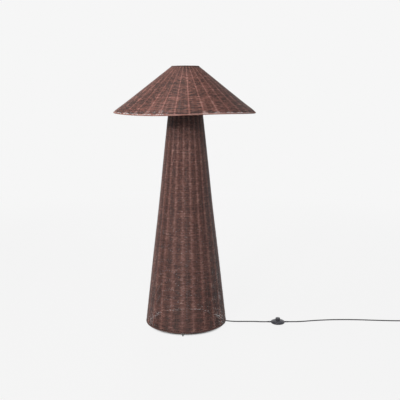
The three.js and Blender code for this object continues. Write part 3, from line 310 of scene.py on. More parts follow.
def even_finish(name, dark, pale, gloss, cloud, grain, relief=0.02, metallic=0.0, draw=(1, 1, 1)):
    """Colour from dark to pale and roughness through the gloss pair follow a noise of `cloud` mm; the bump is
    one of `grain` mm, `relief` mm deep, and draw below 1 along an axis draws it out that way."""
    material, node = new_material(name)
    place = node("TexCoord", {}, "Object")
    puffs = node("TexNoise", {"Vector": place, "Scale": 1 / (cloud * MM), "Detail": 3.0}, "Fac")
    share = node("MapRange", {"Value": puffs, "From Min": 0.35, "From Max": 0.65}, "Result")
    drawn = node("Mapping", {"Vector": place, "Scale": draw}, "Vector")
    skin = node("TexNoise", {"Vector": drawn, "Scale": 1 / (grain * MM), "Detail": 2.0}, "Fac")
    tint = node("Mix", {0: share, 6: linear(dark), 7: linear(pale)}, 2, data_type="RGBA")
    rough = node("MapRange", {"Value": share, "To Min": gloss[0], "To Max": gloss[1]}, "Result")
    bump = node("Bump", {"Height": skin, "Strength": 0.5, "Distance": relief * MM}, "Normal")
    finish_with(node, {"Base Color": tint, "Roughness": rough, "Normal": bump, "Metallic": metallic})
    print(name, dark, "to", pale)
    return material


# Soft PVC, extruded: almost black, half matt, rubbed a little paler, with a fine grain.
sheath = even_finish("extruded_pvc_sheath", "#1b191d", "#2b292e", (0.42, 0.56), 18, 0.8, 0.03)
# ABS, moulded with a half-gloss skin: dark blue-grey, with the fine orange peel of the tool.
abs_shell = even_finish("moulded_abs_half_gloss", "#393941", "#45454f", (0.26, 0.36), 9, 1.1)
# The button is a harder, darker and glossier ABS.
abs_button = even_finish("moulded_abs_button", "#35353b", "#424249", (0.2, 0.34), 7, 0.9, 0.015)
# Soft PVC of the bushes and the plug: matt, as moulded over the lead.
pvc_moulded = even_finish("overmoulded_pvc", "#242327", "#333136", (0.5, 0.62), 10, 0.7, 0.03)
# Powder coat on steel wire and sheet: dark brown, matt and pebbled.
powder_coat = even_finish("powder_coated_steel", "#2c2523", "#3b322f", (0.5, 0.66), 15, 1.4, 0.05)
# Zinc plate, blue passivated: bright grey metal with a slight bloom.
zinc = even_finish("zinc_plated_steel", "#a3a5a6", "#bfc0bd", (0.26, 0.44), 6, 0.5, metallic=1.0)
# Brass, drawn and tarnished a little.
brass = even_finish("drawn_brass", "#a98544", "#c6a565", (0.24, 0.4), 5, 0.5, metallic=1.0, draw=(0.2, 1, 1))
# Phenolic (bakelite) of the lampholder: black with a satin skin.
bakelite = even_finish("moulded_bakelite", "#151413", "#211f1e", (0.3, 0.42), 8, 1.0, 0.015)
# Steatite, pressed and fired without glaze: off-white and chalky.
steatite = even_finish("fired_steatite", "#d9d4c6", "#e8e4d9", (0.6, 0.75), 4, 0.4, 0.03)
# Polyethylene sleeves under the rods: grey, waxy, scuffed where they stand.
polyethylene = even_finish("polyethylene_sleeve", "#6a6d66", "#878a82", (0.45, 0.62), 4, 0.8, 0.03)

# %% [markdown]
# ## The lead's three stretches
# One lead runs down inside the stem, out under the rim and over the floor, where the foot switch cuts it.

# %% The lead's three stretches


def lead(name, line, *nodes):
    """A stretch of the lead, swept along its line."""
    points, faces, uv = sweep(line, CORD_RADIUS)
    return add_piece(name, points, faces, sheath, "cord_sheath", nodes, uv=uv)


lead_a = lead("lead_lamp_to_switch", lamp_to_switch, "cord_lamp_to_switch")
lead_b = lead("lead_switch_to_plug", switch_to_plug, "cord_switch_to_coil", "cord_coil", "cord_coil_to_plug")
lead("lead_inside_sheath", inside_line, "lead_inside")

# %% [markdown]
# ## Turned pieces
# Most small hard parts are turned or moulded round. A maker breaks every edge, so a profile's corners are
# rounded before it is swept about its axis.

# %% Turned pieces
AXIS = 0.5  # a solid piece's profile starts this near the axis, and a flat disc closes what is left


def rounded(corners, radius, steps=5, closed=False):
    """Each corner gives way to a quadratic Bezier curve, between points at the radius on both its sides, or
    at 0.45 of the shorter side if that is less. An open line keeps its two ends."""
    c = np.asarray(corners, float)
    to_last, to_next = np.roll(c, 1, 0) - c, np.roll(c, -1, 0) - c
    sides = [np.linalg.norm(v, axis=1, keepdims=True) for v in (to_last, to_next)]
    reach = np.minimum(np.broadcast_to(radius, len(c))[:, None], 0.45 * np.minimum(*sides))
    start, end = c + to_last / sides[0] * reach, c + to_next / sides[1] * reach
    t = np.linspace(0, 1, steps)[:, None]
    arcs = (1 - t) ** 2 * start[:, None] + 2 * t * (1 - t) * c[:, None] + t ** 2 * end[:, None]
    return arcs.reshape(-1, 2) if closed else np.vstack([c[:1], arcs[1:-1].reshape(-1, 2), c[-1:]])


def turned(profile, sides=64, closed=True, ribs=0, rib=0.0):
    """Rows of (radius, height) turned about Z, in mm. Ribs, a cosine round the axis, are cut into the
    outermost 0.3 mm. A profile that isn't closed on itself is closed by flat discs at its two ends."""
    profile = np.asarray(profile, float)
    angle = around(sides)[None]
    outer = profile[:, :1] > profile[:, 0].max() - 0.3
    radius = profile[:, :1] - outer * rib * (1 - np.cos(ribs * angle)) / 2
    points = np.stack([radius * np.cos(angle), radius * np.sin(angle), profile[:, 1:] + 0 * angle], -1)
    return points.reshape(-1, 3), tube_faces(1, len(profile), sides, closed)[0]


def moved(surface, *way):
    """A surface, which is its points and its faces, moved by a way."""
    return surface[0] + way, surface[1]


def hard_piece(name, surface, material, slot, node, body="lamp", sharp=50):
    """A surface in mm as a piece that stands for its CAD node."""
    add_piece(name, surface[0] * MM, surface[1], material, slot, [node], body, sharp=sharp)


def turned_piece(name, profile, material, slot, node, centre=(0, 0), body="lamp", **shape):
    """A turned profile on an upright axis through centre, as such a piece."""
    hard_piece(name, moved(turned(profile, **shape), *centre, 0), material, slot, node, body, 40)


# %% [markdown]
# ## The foot switch
# Two moulded shells hold a push button. The lower one is a dish, the upper one a flat dome with a lip round
# the tall button, and a fine groove shows where they meet. The dome's profile is an ellipse at power 1 and a
# straight cone at 2; the real one lies between.

# %% The foot switch
SWITCH_AT = (537, -8)
SWITCH_RADIUS, SHELL = 39.75, 2.2  # outside, and wall
SWITCH_SPLIT, SPLIT_GAP = 7.2, 0.15  # height where the shells meet, and how far each stays away from it
DOME_FOOT, SWITCH_TOP, DOME_POWER = 9.5, 19.0, 1.25
BUTTON_HOLE = 13.9


def dome(thickness, count):
    """Over a quarter turn the radius goes from wall to hole by cos ** power, the height from the dome's foot
    to its top by sin ** power."""
    a = np.linspace(0, np.pi / 2, count)
    radius = BUTTON_HOLE + (SWITCH_RADIUS - thickness - BUTTON_HOLE) * np.maximum(np.cos(a), 0) ** DOME_POWER
    return np.stack([radius, DOME_FOOT + (SWITCH_TOP - thickness - DOME_FOOT) * np.sin(a) ** DOME_POWER], 1)


inner, low, high = SWITCH_RADIUS - SHELL, SWITCH_SPLIT - SPLIT_GAP, SWITCH_SPLIT + SPLIT_GAP
dish = rounded([(AXIS, 0), (37.2, 0), (SWITCH_RADIUS, 2.6), (SWITCH_RADIUS, low), (inner, low), (inner, 2),
                (AXIS, 2)], [0, 1, 2, 0.4, 0.3, 1, 0])
turned_piece("switch_dish", dish, abs_shell, "switch_plastic", "switch_lower_shell", SWITCH_AT, sides=96,
             closed=False)
lip = np.add([(1.1, 0.1), (0.5, 0.35), (0, -0.3)], (BUTTON_HOLE, SWITCH_TOP))
cover = np.vstack([[(39.2, high), (SWITCH_RADIUS, 7.9)], dome(0, 28)[:-2], lip, dome(SHELL, 14)[::-1],
                   [(inner, high)]])
turned_piece("switch_cover", cover, abs_shell, "switch_plastic", "switch_upper_shell", SWITCH_AT, sides=96)
button = rounded([(10, 14.5), (16.4, 14.5), (16.4, 16.4), (13.5, 16.4), (13.5, 30), (12.4, 31.3),
                  (10.8, 31.65), (8.6, 31.1), (AXIS, 30.9), (AXIS, 28.3), (10, 28.3)],
                 [0.2, 0.2, 0.2, 0.2, 1, 0.8, 0.8, 2, 0, 0, 0.5])
turned_piece("switch_cap", button, abs_button, "button_plastic", "switch_button", SWITCH_AT, "button",
             closed=False)

# %% [markdown]
# ## The spring under the button
# A spring is wound from hard steel wire, with its last turns laid flat so that it stands square: a tube along
# a helix.

# %% The spring
SPRING_RADIUS, SPRING_WIRE = 6.0, 0.6  # of a turn, and of the wire
SPRING_FOOT, SPRING_HEAD = 8.3, 28.0  # heights of its two flat ends
SPRING_TURNS, FLAT_TURNS, TURN_STEPS = 6, 1, 32
FLAT_RISE = 2.1 * SPRING_WIRE


def spring_line():
    """A helix: its height rises evenly over the working turns, and by one wire over each flat end turn."""
    turn = np.linspace(0, SPRING_TURNS, SPRING_TURNS * TURN_STEPS + 1)
    low, high = SPRING_FOOT + SPRING_WIRE, SPRING_HEAD - SPRING_WIRE
    height = np.interp(turn, [0, FLAT_TURNS, SPRING_TURNS - FLAT_TURNS, SPRING_TURNS],
                       [low, low + FLAT_RISE, high - FLAT_RISE, high])
    angle = 2 * np.pi * turn
    x, y = SWITCH_AT
    return np.stack([x + SPRING_RADIUS * np.cos(angle), y + SPRING_RADIUS * np.sin(angle), height], 1)


points, faces, uv = sweep(spring_line() * MM, SPRING_WIRE * MM, 10)
spring = add_piece("switch_spring_wire", points, faces, zinc, "zinc_steel", ["switch_spring"], uv=uv)
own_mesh(spring)

# %% [markdown]
# ## The bushes of the switch
# Where the lead enters the switch, a soft tapered bush with grooves that let it bend keeps it from kinking.
# It is turned like the shells, and then laid along the lead.

# %% The bushes of the switch
BUSH_FROM, BUSH_OUTSIDE, BUSH_TO = 33.0, 40.0, 60.6  # from the switch's middle: inner end, wall, outer end
BUSH_FLANGE, BUSH_NECK = 4.8, 4.3  # radius behind the wall, and in it
BUSH_RADIUS, BUSH_TAPER = 4.6, 0.8  # just outside the wall, and how much less at the end
GROOVE_DEPTH, GROOVE_PITCH, GROOVE_PLACE = 0.7, 4, 2.4


def bush_line():
    """Outside the wall the radius tapers evenly, less the grooves: a cosine, made into rounded steps by the
    hyperbolic tangent, up to 87% of the way."""
    out = np.arange(BUSH_OUTSIDE, BUSH_TO, 0.3)
    share = (out - BUSH_OUTSIDE) / (BUSH_TO - BUSH_OUTSIDE)
    wave = np.cos(2 * np.pi * (out - BUSH_OUTSIDE - GROOVE_PLACE) / GROOVE_PITCH)
    groove = (share <= 0.87) * (1 + np.tanh(5 * (wave - 0.45))) / 2
    radius = BUSH_RADIUS - BUSH_TAPER * share - GROOVE_DEPTH * groove
    inside = [(BUSH_FLANGE, BUSH_FROM), (BUSH_FLANGE, 33.9), (BUSH_NECK, 34), (BUSH_NECK, BUSH_OUTSIDE - 0.1)]
    return np.vstack([inside, np.stack([radius, out], 1)])


def lying(surface, x, y, z, sign=1):
    """A surface made about Z, laid along X or against it, at its place."""
    points, faces = surface
    return np.stack([x + sign * points[:, 2], y + points[:, 1], z + points[:, 0]], 1), faces


for name, sign in (("in", -1), ("out", 1)):
    bush = lying(turned(bush_line(), 28, closed=False), *SWITCH_AT, SWITCH_SPLIT, sign)
    hard_piece(f"switch_sleeve_{name}", bush, pvc_moulded, "cord_sheath", f"switch_bush_{name}")

# %% [markdown]
# ## The plug
# A flat two-pin plug is moulded over the lead's end. Its sections are superellipses, rounder than a box and
# fuller than an ellipse, and one formula gives tail, shoulder and face. Grooves give a grip.

# %% The plug
PLUG_AT = (1413, 17, 7.3)
PLUG_STATIONS = [  # along, half width, half thickness, exponent of the superellipse
    (-0.5, 4.0, 4.0, 2), (10, 4.6, 4.6, 2), (20, 5.0, 5.0, 2), (24, 6.2, 5.4, 2.3), (28, 9.0, 6.2, 3),
    (34, 12.2, 6.9, 4), (44, 13.4, 7.0, 5), (55, 13.5, 7.0, 6), (57.3, 13.1, 6.7, 6), (58, 12.4, 6.1, 6),
]
PLUG_ROWS, PLUG_SIDES = 73, 48
GRIP_MIDDLE, GRIP_HALF = 40.5, 6  # where the grooves are, along the plug
GRIP_PITCH, GRIP_WIDTH, GRIP_DEPTH = 3, 0.8, 0.5
PIN_ASIDE, PIN_FROM = 9.5, 58.1

angle, row = around(PLUG_SIDES), np.arange(len(PLUG_STATIONS))
along, wide, deep, power = (np.interp(np.linspace(0, row[-1], PLUG_ROWS), row, column)[:, None]
                            for column in zip(*PLUG_STATIONS))
across = wide * np.sign(np.cos(angle)) * np.abs(np.cos(angle)) ** (2 / power)
upward = deep * np.sign(np.sin(angle)) * np.abs(np.sin(angle)) ** (2 / power)
in_grip = (np.abs(along - GRIP_MIDDLE) < GRIP_HALF) & (np.abs(np.sin(angle)) > 0.75)
groove = in_grip & (np.abs(along - 39) % GRIP_PITCH < GRIP_WIDTH)
upward = upward - GRIP_DEPTH * groove * np.sign(upward)
points = np.stack([along + 0 * angle, across, upward], -1).reshape(-1, 3)
faces = tube_faces(1, PLUG_ROWS, PLUG_SIDES, False)[0]
hard_piece("plug_moulding", moved((points, faces), *PLUG_AT), pvc_moulded, "switch_plastic", "plug_body")
pin = turned(rounded([(0.3, 0), (2, 0), (2, 19), (0.3, 19.2)], [0, 0, 1.6, 0], steps=8) + [0, PIN_FROM], 24,
             closed=False)
for k, aside in ((1, -PIN_ASIDE), (2, PIN_ASIDE)):
    hard_piece(f"plug_pin_round_{k}", lying(pin, PLUG_AT[0], PLUG_AT[1] + aside, PLUG_AT[2]), brass, "brass",
               f"plug_pin_{k}")

# %% [markdown]

# %% [markdown]
# ## Cane, as a material
# The wicker is rattan core, dyed reddish brown, with a thin, half-matt lacquer. Each strand takes the dye a
# little differently, has fine fibres along it, and is paler where it is rubbed; over the raised bands that
# paleness is also a painted sheen. A number on each point, its tone, says how pale it is; a noise stretched
# along the strand's own UV map draws the fibres.

# %% Cane
FIBRE_STRETCH, FIBRE_SCALE = (0.06, 1.3, 1.0), 2.0  # the strand's map holds mm along it and corners round it
CLOUD_SCALE = 9.0  # per metre: the dye's clouds are about 11 cm wide
FIBRE_SHARE, CLOUD_SHARE, CENTRE = 0.5, 0.4, 0.45  # what both add to the tone, and their mean


def cane_material(name, dark, middle, pale, gloss):
    """Dyed rattan: a ramp from dark to pale by the tone, plus shares of the fibres and of a slow cloud. The
    fibres give the bump too, and the roughness through the gloss pair."""
    material, node = new_material(name)
    tone = node("Attribute", {}, "Fac", attribute_name="tone")
    strand = node("UVMap", {}, "UV", uv_map="strand")
    drawn = node("Mapping", {"Vector": strand, "Scale": FIBRE_STRETCH}, "Vector")
    fibre = node("TexNoise", {"Vector": drawn, "Scale": FIBRE_SCALE, "Detail": 4.0}, "Fac")
    place = node("TexCoord", {}, "Object")
    cloud = node("TexNoise", {"Vector": place, "Scale": CLOUD_SCALE, "Detail": 3.0}, "Fac")
    mixed = node("Math", {0: fibre, 1: FIBRE_SHARE, 2: tone}, 0, operation="MULTIPLY_ADD")
    clouded = node("Math", {0: cloud, 1: CLOUD_SHARE, 2: mixed}, 0, operation="MULTIPLY_ADD")
    ramp = node("ValToRGB", {"Fac": node("Math", {0: clouded, 1: CENTRE}, 0, operation="SUBTRACT")})
    ramp.color_ramp.elements[0].color = linear(dark)
    ramp.color_ramp.elements[1].color = linear(pale)
    ramp.color_ramp.elements.new(0.5).color = linear(middle)
    rough = node("MapRange", {"Value": fibre, "To Min": gloss[0], "To Max": gloss[1]}, "Result")
    bump = node("Bump", {"Height": fibre, "Strength": 0.3, "Distance": 0.5 * MM}, "Normal")
    finish_with(node, {"Base Color": ramp.outputs["Color"], "Roughness": rough, "Normal": bump})
    print(name, dark, "over", middle, "to", pale)
    return material


# Rattan core under a thin lacquer: reddish brown, with a soft shine on the crown of each strand.
base_cane = cane_material("dyed_rattan_cane", "#422c27", "#754c43", "#ad8479", (0.34, 0.5))
# The shade's cane is the base's cane with painted light: its middle and pale tones are paler for the light on
# its slope, its dark strands darker, and its lacquer is duller.
shade_cane_painted_light = cane_material("dyed_rattan_cane_painted_light", "#36221d", "#85564c", "#c49c92", (0.52, 0.68))

# %% [markdown]
# ## Weaving on a cone
# Upright stakes stand in the slope, and weavers run round them, outside one stake and inside the next, each
# row the other way round. A bump on a smooth cone would let no light through and keep a clean edge, so every
# strand is real: a turn about the axis, a way along the slope and a way out of it.

# %% Cones
BASE_CONE = ((230.0, 15.4), (91.3, 1244.0))  # middle of the wall: (radius, height) at its foot and head
SHADE_CONE = ((389.2, 1227.1), (74.3, 1475.8))
CANE_OF = {BASE_CONE: (base_cane, "base_weave"), SHADE_CONE: (shade_cane_painted_light, "shade_weave")}
FRONT = -math.pi / 2
# What handwork adds, in mm. The shade's rim is pulled to the left, and hangs below a level ring by a constant
# and by sines of 2, 3 and 4 times the turn from the front. Its side bellies out by a power of the height, and
# once more just above the rim. The base is drawn in at its waist.
RIM_PULL, RIM_DROP, RIM_WAVES = -4.0, 0.8, ((2, -2.6), (3, -0.55), (4, -1.4))
BELLY, BELLY_POWER = 2.2, 4
BULGE, BULGE_AT = 4.0, 25  # and the way above the rim where it is widest
WAIST, WAIST_HEIGHT, WAIST_REACH = 2.2, 685, 200
SHADE_SLOPE, BASE_HEIGHT = 401.27, 1228
rng = np.random.default_rng(11)


def slope_length(cone):
    """The distance between the cone's foot and head in a section."""
    return math.dist(*cone)


def radius_at(cone, along):
    """The cone's radius at a way along its slope."""
    (r0, _), (r1, _) = cone
    return r0 + (r1 - r0) * along / slope_length(cone)


def bent(cone, turn, share):
    """What handwork adds, as (sideways, outwards, up); share is 1 at the cone's foot and 0 at its head. The
    bulge is x * exp(1 - x), which starts at 0 and is highest at 1; the waist is a Gaussian bell."""
    if cone == SHADE_CONE:
        x = (1 - share) * SHADE_SLOPE / BULGE_AT
        drop = RIM_DROP + sum(size * np.sin(times * (turn - FRONT)) for times, size in RIM_WAVES)
        belly = BELLY * (1 - np.clip(1 - share, 0, 1) ** BELLY_POWER)
        return RIM_PULL * share, belly + BULGE * np.clip(x, 0, None) * np.exp(1 - x), -drop * share
    return 0, -WAIST * np.exp(-(((1 - share) * BASE_HEIGHT - WAIST_HEIGHT) / WAIST_REACH) ** 2), 0


def on_cone(cone, turn, along, out):
    """Radius and height run along the slope from its foot, and out along its normal, which is the slope's
    direction turned by a quarter; turn is the angle about Z. Millimetres in, metres out."""
    (r0, z0), (r1, z1) = cone
    length = slope_length(cone)
    step_r, step_z = (r1 - r0) / length, (z1 - z0) / length
    sideways, outwards, up = bent(cone, turn, 1 - along / length)
    radius = r0 + step_r * along + step_z * out + outwards
    height = z0 + step_z * along - step_r * out + up
    x, y = radius * np.cos(turn) + sideways, radius * np.sin(turn)
    return np.stack(np.broadcast_arrays(x, y, height), -1) * MM


def slow_noise(rows, places, knots):
    """Rows of smooth random numbers round a ring: random values at the knots, joined by half cosine waves."""
    values = rng.uniform(-1, 1, (rows, knots))
    where = places[None] / (2 * np.pi) * knots
    left = np.floor(where).astype(int) % knots
    share = (1 - np.cos(np.pi * (where - np.floor(where)))) / 2
    row = np.arange(rows)[:, None]
    return values[row, left] * (1 - share) + values[row, (left + 1) % knots] * share


def section(sides, half_height, half_depth):
    """A strand's section: an ellipse, the first corner on its inner side, as (along, out) offsets."""
    return -half_height * np.sin(around(sides)), -half_depth * np.cos(around(sides))


def cane_piece(name, cone, points, faces, uv, tone, *nodes):
    """A piece of the cone's own cane, with a tone for each point."""
    material, slot = CANE_OF[cone]
    add_piece(name, points.reshape(-1, 3), faces, material, slot, nodes, uv=uv, tone=tone)


print("slopes in mm:", round(slope_length(BASE_CONE), 1), round(slope_length(SHADE_CONE), 1))

# %% [markdown]
# ## The colour of each weaver
# No two strands of cane are alike, and neighbouring rows come from the same bundle, so they share patches of
# colour. Over each main stake a pale band is painted: wear where a weaver swings out over the stake, and a
# painted sheen of the raised band. Sums of slow noises give all of this.

# %% Tones
PLAIN_TONE, ROW_TONE = 0.2, 0.1  # of all rows, and how far one row may be off
SLOW_TONE, SLOW_KNOTS = 0.1, 24  # changes round each row
BUNDLE_TONE, BUNDLE_KNOTS = 0.13, 90  # patches that three neighbouring rows share
PATCH_TONE, PATCH_KNOTS = 0.24, 3.4  # short patches of two rows, this many for each stake
TICK, TICK_MIDDLE = 0.3, 0.6  # how dark every third row gets between the stakes, and how often
# Where a weaver passes inside a main stake it still takes this share of the pale band, there a painted sheen.
INSIDE_RUB_AND_SHEEN = 0.6  # share of the rubbing where a weaver passes inside a stake


def swing(turn, stakes):
    """Where a weaver is, from 1 outside the main stakes to -1 inside them: a cosine with one period for two
    stakes, raised so that it is wider at the main ones, and flattened by the hyperbolic tangent."""
    return np.tanh(1.5 * (np.cos(stakes / 2 * turn) + 0.15)) / np.tanh(1.5)


def row_tones(rows, turn, stakes, swings, width, rubbed_and_sheen):
    """How pale each weaver is: a part for the row, a slow one round it, patches that three rows share and
    short ones that two share, dark ticks in every third row, and a bell over each main stake, a cosine raised
    to the power that gives its width: a pale band of wear and of painted sheen on the raised band."""
    row = np.arange(rows)
    tone = PLAIN_TONE + ROW_TONE * rng.uniform(-1, 1, (rows, 1))
    tone = tone + SLOW_TONE * slow_noise(rows, turn, SLOW_KNOTS)
    tone += BUNDLE_TONE * slow_noise(rows // 3 + 1, turn, BUNDLE_KNOTS)[row // 3]
    tone += PATCH_TONE * slow_noise(rows // 2 + 1, turn, int(PATCH_KNOTS * stakes))[row // 2]
    bell = ((1 + np.cos(stakes / 2 * turn)) / 2) ** width
    ticks = np.clip(TICK_MIDDLE + slow_noise(rows, turn, stakes), 0, 1) * (row % 3 == 0)[:, None]
    return tone - TICK * ticks * (1 - bell) + bell * np.where(swings > 0, rubbed_and_sheen, INSIDE_RUB_AND_SHEEN * rubbed_and_sheen)


# %% [markdown]
# ## Weavers
# Nobody can see where one long strand ends and the next begins, so each row is a closed ring. Rows wander,
# swing more or less deep, and are pinched where a speck of light comes through. Near the shade's rim the
# weave is slack: strands are thinner there and swing wider.

# %% Weavers
STEPS, SIDES = 4, 6  # sections of a weaver for each stake, and corners of a section
WANDER, DEPTH_CHANGE = 0.05, 0.12  # of a row's height, in pitches, and of its swing
FADE, RARE = 0.12, 0.6  # share of the slope over which specks end, and how rare they are
SLACK_REACH, SLACK_SWING = 45, 5  # mm above the first row, and how much wider a slack strand swings


def weave(name, cone, span, pitch, stakes, start, strand, bell, ragged, slack, specks, count, node):
    """Rows of weavers along the slope, in `count` pieces. A strand is (depth, thick, high): it swings by
    depth about the slope and its section is an ellipse. The first row is pushed up by `ragged` mm between the
    stakes. Specks are (how much a strand is pinched, the share of the slope where they end)."""
    depth, thick, high = strand
    rows = int((span[1] - span[0]) / pitch) + 1
    turn = around(STEPS * stakes)
    swings = swing(turn, stakes) * np.where(np.arange(rows) % 2, -1, 1)[:, None]
    along = span[0] + pitch * np.arange(rows)[:, None] + WANDER * pitch * slow_noise(rows, turn, 40)
    along[0] += ragged * ((1 - np.cos(stakes * turn)) / 2 + 0.7 * slow_noise(1, turn, 2 * stakes)[0])
    out = depth * swings * (1 + DEPTH_CHANGE * slow_noise(rows, turn, 60))
    tone = row_tones(rows, turn, stakes, swings, *bell)
    most, until = specks
    fade = np.clip((until - along / slope_length(cone)) / FADE, 0, 1)
    pinch = most * fade * np.clip(slow_noise(rows, turn, 3 * stakes) - RARE, 0, 1)
    loose = np.clip(1 - along / SLACK_REACH, 0, 1) * slack
    out = out * (1 + SLACK_SWING * loose)
    body = (rng.uniform(0.96, 1.03, (rows, 1)) * (1 - pinch - loose))[..., None]
    side_along, side_out = section(SIDES, high, thick)
    points = on_cone(cone, turn[None, :, None] + start, along[..., None] + side_along * body,
                     out[..., None] + side_out * body)
    # Each row's map starts anywhere in half a metre of cane, so that no two rows have the same fibres.
    length = np.append(turn, 2 * np.pi)[None] * radius_at(cone, along[:, :1]) + rng.uniform(0, 500, (rows, 1))
    for k, part in enumerate(np.array_split(np.arange(rows), count)):
        faces, (s, i, j) = tube_faces(len(part), len(turn), SIDES, True)
        own_tone = np.broadcast_to(tone[part][..., None], (len(part), len(turn), SIDES))
        uv = np.stack([length[part][s, i], j], -1)
        cane_piece(f"{name}_{k + 1}", cone, points[part], faces, uv, own_tone, node)


BASE_STAKES, SHADE_STAKES = 44, 64
BASE_START = FRONT + math.radians(-4.3)  # a main stake stands this far left of the front
SHADE_START = FRONT + math.radians(4.7)
# A bell is the width and the paleness of the band over each main stake: partly wear, partly painted sheen.
weave("base_weavers", BASE_CONE, (14.5, slope_length(BASE_CONE) - 14), 4.3, BASE_STAKES, BASE_START,
      (2.3, 1.6, 2.4), bell=(1.9, 0.47), ragged=0.3, slack=0.0, specks=(1.05, 0.72), count=4,
      node="base_wicker")
weave("shade_weavers", SHADE_CONE, (9.2, slope_length(SHADE_CONE) - 7), 3.8, SHADE_STAKES, SHADE_START,
      (1.2, 1.9, 2.4), bell=(9.0, 0.38), ragged=1.3, slack=0.07, specks=(0.45, 0.8), count=2,
      node="shade_wicker")

# %% [markdown]
# ## Stakes
# The stakes are round cane. In the base the main ones are pairs, which makes the broad pale bands, with a
# single stake between two pairs. In the shade they fan out from the top ring, and every second one is paler.

# %% Stakes
STAKE_ENDS = {BASE_CONE: 8.0, SHADE_CONE: 2.0}  # from the wall's edges to the stakes' ends


def rods_on(cone, span, turns, aside, radius, out=0.0, pull=0.35, sides=8):
    """Straight rods along the slope, closed at both ends, with a section every 12 mm: each at its turn, moved
    aside by a distance over the radius, with a small wave from the weavers' pull."""
    steps = int((span[1] - span[0]) / 12)
    along = np.linspace(*span, steps)[None, :, None]
    side_along, side_out = section(sides, radius, radius)
    wave = pull * rng.uniform(-1, 1, (len(turns), steps, 1))
    turn = turns[:, None, None] + (aside + wave + side_along) / radius_at(cone, along)
    points = on_cone(cone, turn, along, out + side_out + 0 * turn).reshape(-1, 3)
    faces, (s, i, j) = tube_faces(len(turns), steps, sides, False)
    return points, faces, np.stack([along[0, :, 0][i] + 900.0 * s, j], -1)


def stakes_on(name, cone, turns, aside, radius, tone):
    """Cane rods with one tone each."""
    end = STAKE_ENDS[cone]
    points, faces, uv = rods_on(cone, (end, slope_length(cone) - end), turns, aside, radius)
    tones = np.repeat(tone + 0.08 * rng.uniform(-1, 1, len(turns)), len(points) // len(turns))
    cane_piece(name, cone, points, faces, uv, tones)


main_base, main_shade = BASE_START + around(BASE_STAKES)[::2], SHADE_START + around(SHADE_STAKES)[::2]
stakes_on("base_stakes_left", BASE_CONE, main_base, -2.2, 2.0, 0.5)
stakes_on("base_stakes_right", BASE_CONE, main_base, 2.2, 2.0, 0.45)
stakes_on("base_stakes_between", BASE_CONE, main_base + 2 * np.pi / BASE_STAKES, 0, 1.7, 0.25)
stakes_on("shade_stakes_pale", SHADE_CONE, main_shade, 0, 1.7, 0.7)
stakes_on("shade_stakes_dark", SHADE_CONE, main_shade + 2 * np.pi / SHADE_STAKES, 0, 1.3, 0.25)

# %% [markdown]
# ## Plaited borders
# At each edge the stakes are bent over and plaited into a rope, which keeps the weave from sliding off: three
# strands that wind round each other.

# %% Borders


def border(name, cone, middle, high, deep, strand, twists, tone, node):
    """Three strands on an ellipse about the line at `middle` along the slope: the angle on the ellipse is the
    turn times the number of twists, plus a third of a circle for each strand."""
    turn = around(twists * 10)
    angle = twists * turn[None] + around(3)[:, None]
    side_along, side_out = section(8, strand, strand)
    points = on_cone(cone, turn[None, :, None], (middle + high * np.cos(angle))[..., None] + side_along,
                     (deep * np.sin(angle))[..., None] + side_out)
    faces, (s, i, j) = tube_faces(3, len(turn), 8, True)
    uv = np.stack([i * radius_at(cone, middle) * 2 * np.pi / len(turn) + 700.0 * s, j], -1)
    tones = tone + 0.15 * slow_noise(3, turn, twists)[..., None] + np.zeros(8)
    cane_piece(name, cone, points, faces, uv, tones, node)


border("base_bottom_plait", BASE_CONE, 6.0, 3.6, 1.7, 2.5, 48, 0.2, "base_bottom_border")
border("base_top_plait", BASE_CONE, slope_length(BASE_CONE) - 6, 3.6, 1.7, 2.5, 20, 0.3, "base_top_border")
border("shade_rim_plait", SHADE_CONE, 0.0, 2.3, 2.3, 2.2, 72, 0.7, "shade_rim_border")
border("shade_top_plait", SHADE_CONE, slope_length(SHADE_CONE), 2.0, 2.0, 2.1, 16, 0.1, "shade_top_border")

# %% [markdown]
# ## The steel frame of the base
# Four rods stand against the inside of the wicker, with four wire rings welded in. They lean with the wall,
# so each is a turned profile, sheared: the higher a row, the nearer to the lamp's axis. A weld is a small
# swelling. Grey sleeves are pushed on the rods' ends; the front one just shows under the rim.

# %% The frame of the base
FRAME_TURN = math.radians(-3.5)
ROD, ROD_SPAN = 3.0, (2.64, 1235.36)
WELD_SWELL, WELD_REACH = 1.1, 3.5
RING_HEIGHTS = (18.3, 420.0, 830.0, 1232.7)
RING_INSET = 5.636  # from a rod's middle in to a ring's wire, which runs a little into it
WALL_FOOT, WALL_LEAN, WALL = (233.5, 15.4), 0.112893, 7  # the solid wicker's outside, slope and thickness
FLAT_SIDE = 0.996917  # its 40 flat sides are nearer the axis in their middle, by the cosine of 4.5 degrees
ROD_INSET = 3.32  # a rod's radius and a small clearance


def rod_centre(height):
    """The rods' distance from the axis: the wicker's inner side, less rod and clearance, less the waist."""
    height = np.asarray(height, float)
    wall = (WALL_FOOT[0] - WALL_LEAN * (height - WALL_FOOT[1]) - WALL) * FLAT_SIDE
    return wall - ROD_INSET + bent(BASE_CONE, 0, 1 - height / 1236)[1]


def joined(parts):
    """Several closed surfaces as one, each counted on from the points before it."""
    starts = np.cumsum([0] + [len(points) for points, _ in parts])
    return np.vstack([points for points, _ in parts]), np.vstack([f + n for (_, f), n in zip(parts, starts)])


def turned_about(surface, angle):
    """A surface turned about Z by an angle."""
    c, s, (x, y, z) = math.cos(angle), math.sin(angle), surface[0].T
    return np.stack([c * x - s * y, s * x + c * y, z], 1), surface[1]


def leaning(profile, quarter, sides=14):
    """A turned profile that leans with the wall: each row moves out to the rods' place at its height."""
    points, faces = turned(profile, sides, closed=False)
    points[:, 0] += rod_centre(points[:, 2])
    return turned_about((points, faces), FRAME_TURN + quarter * math.pi / 2)


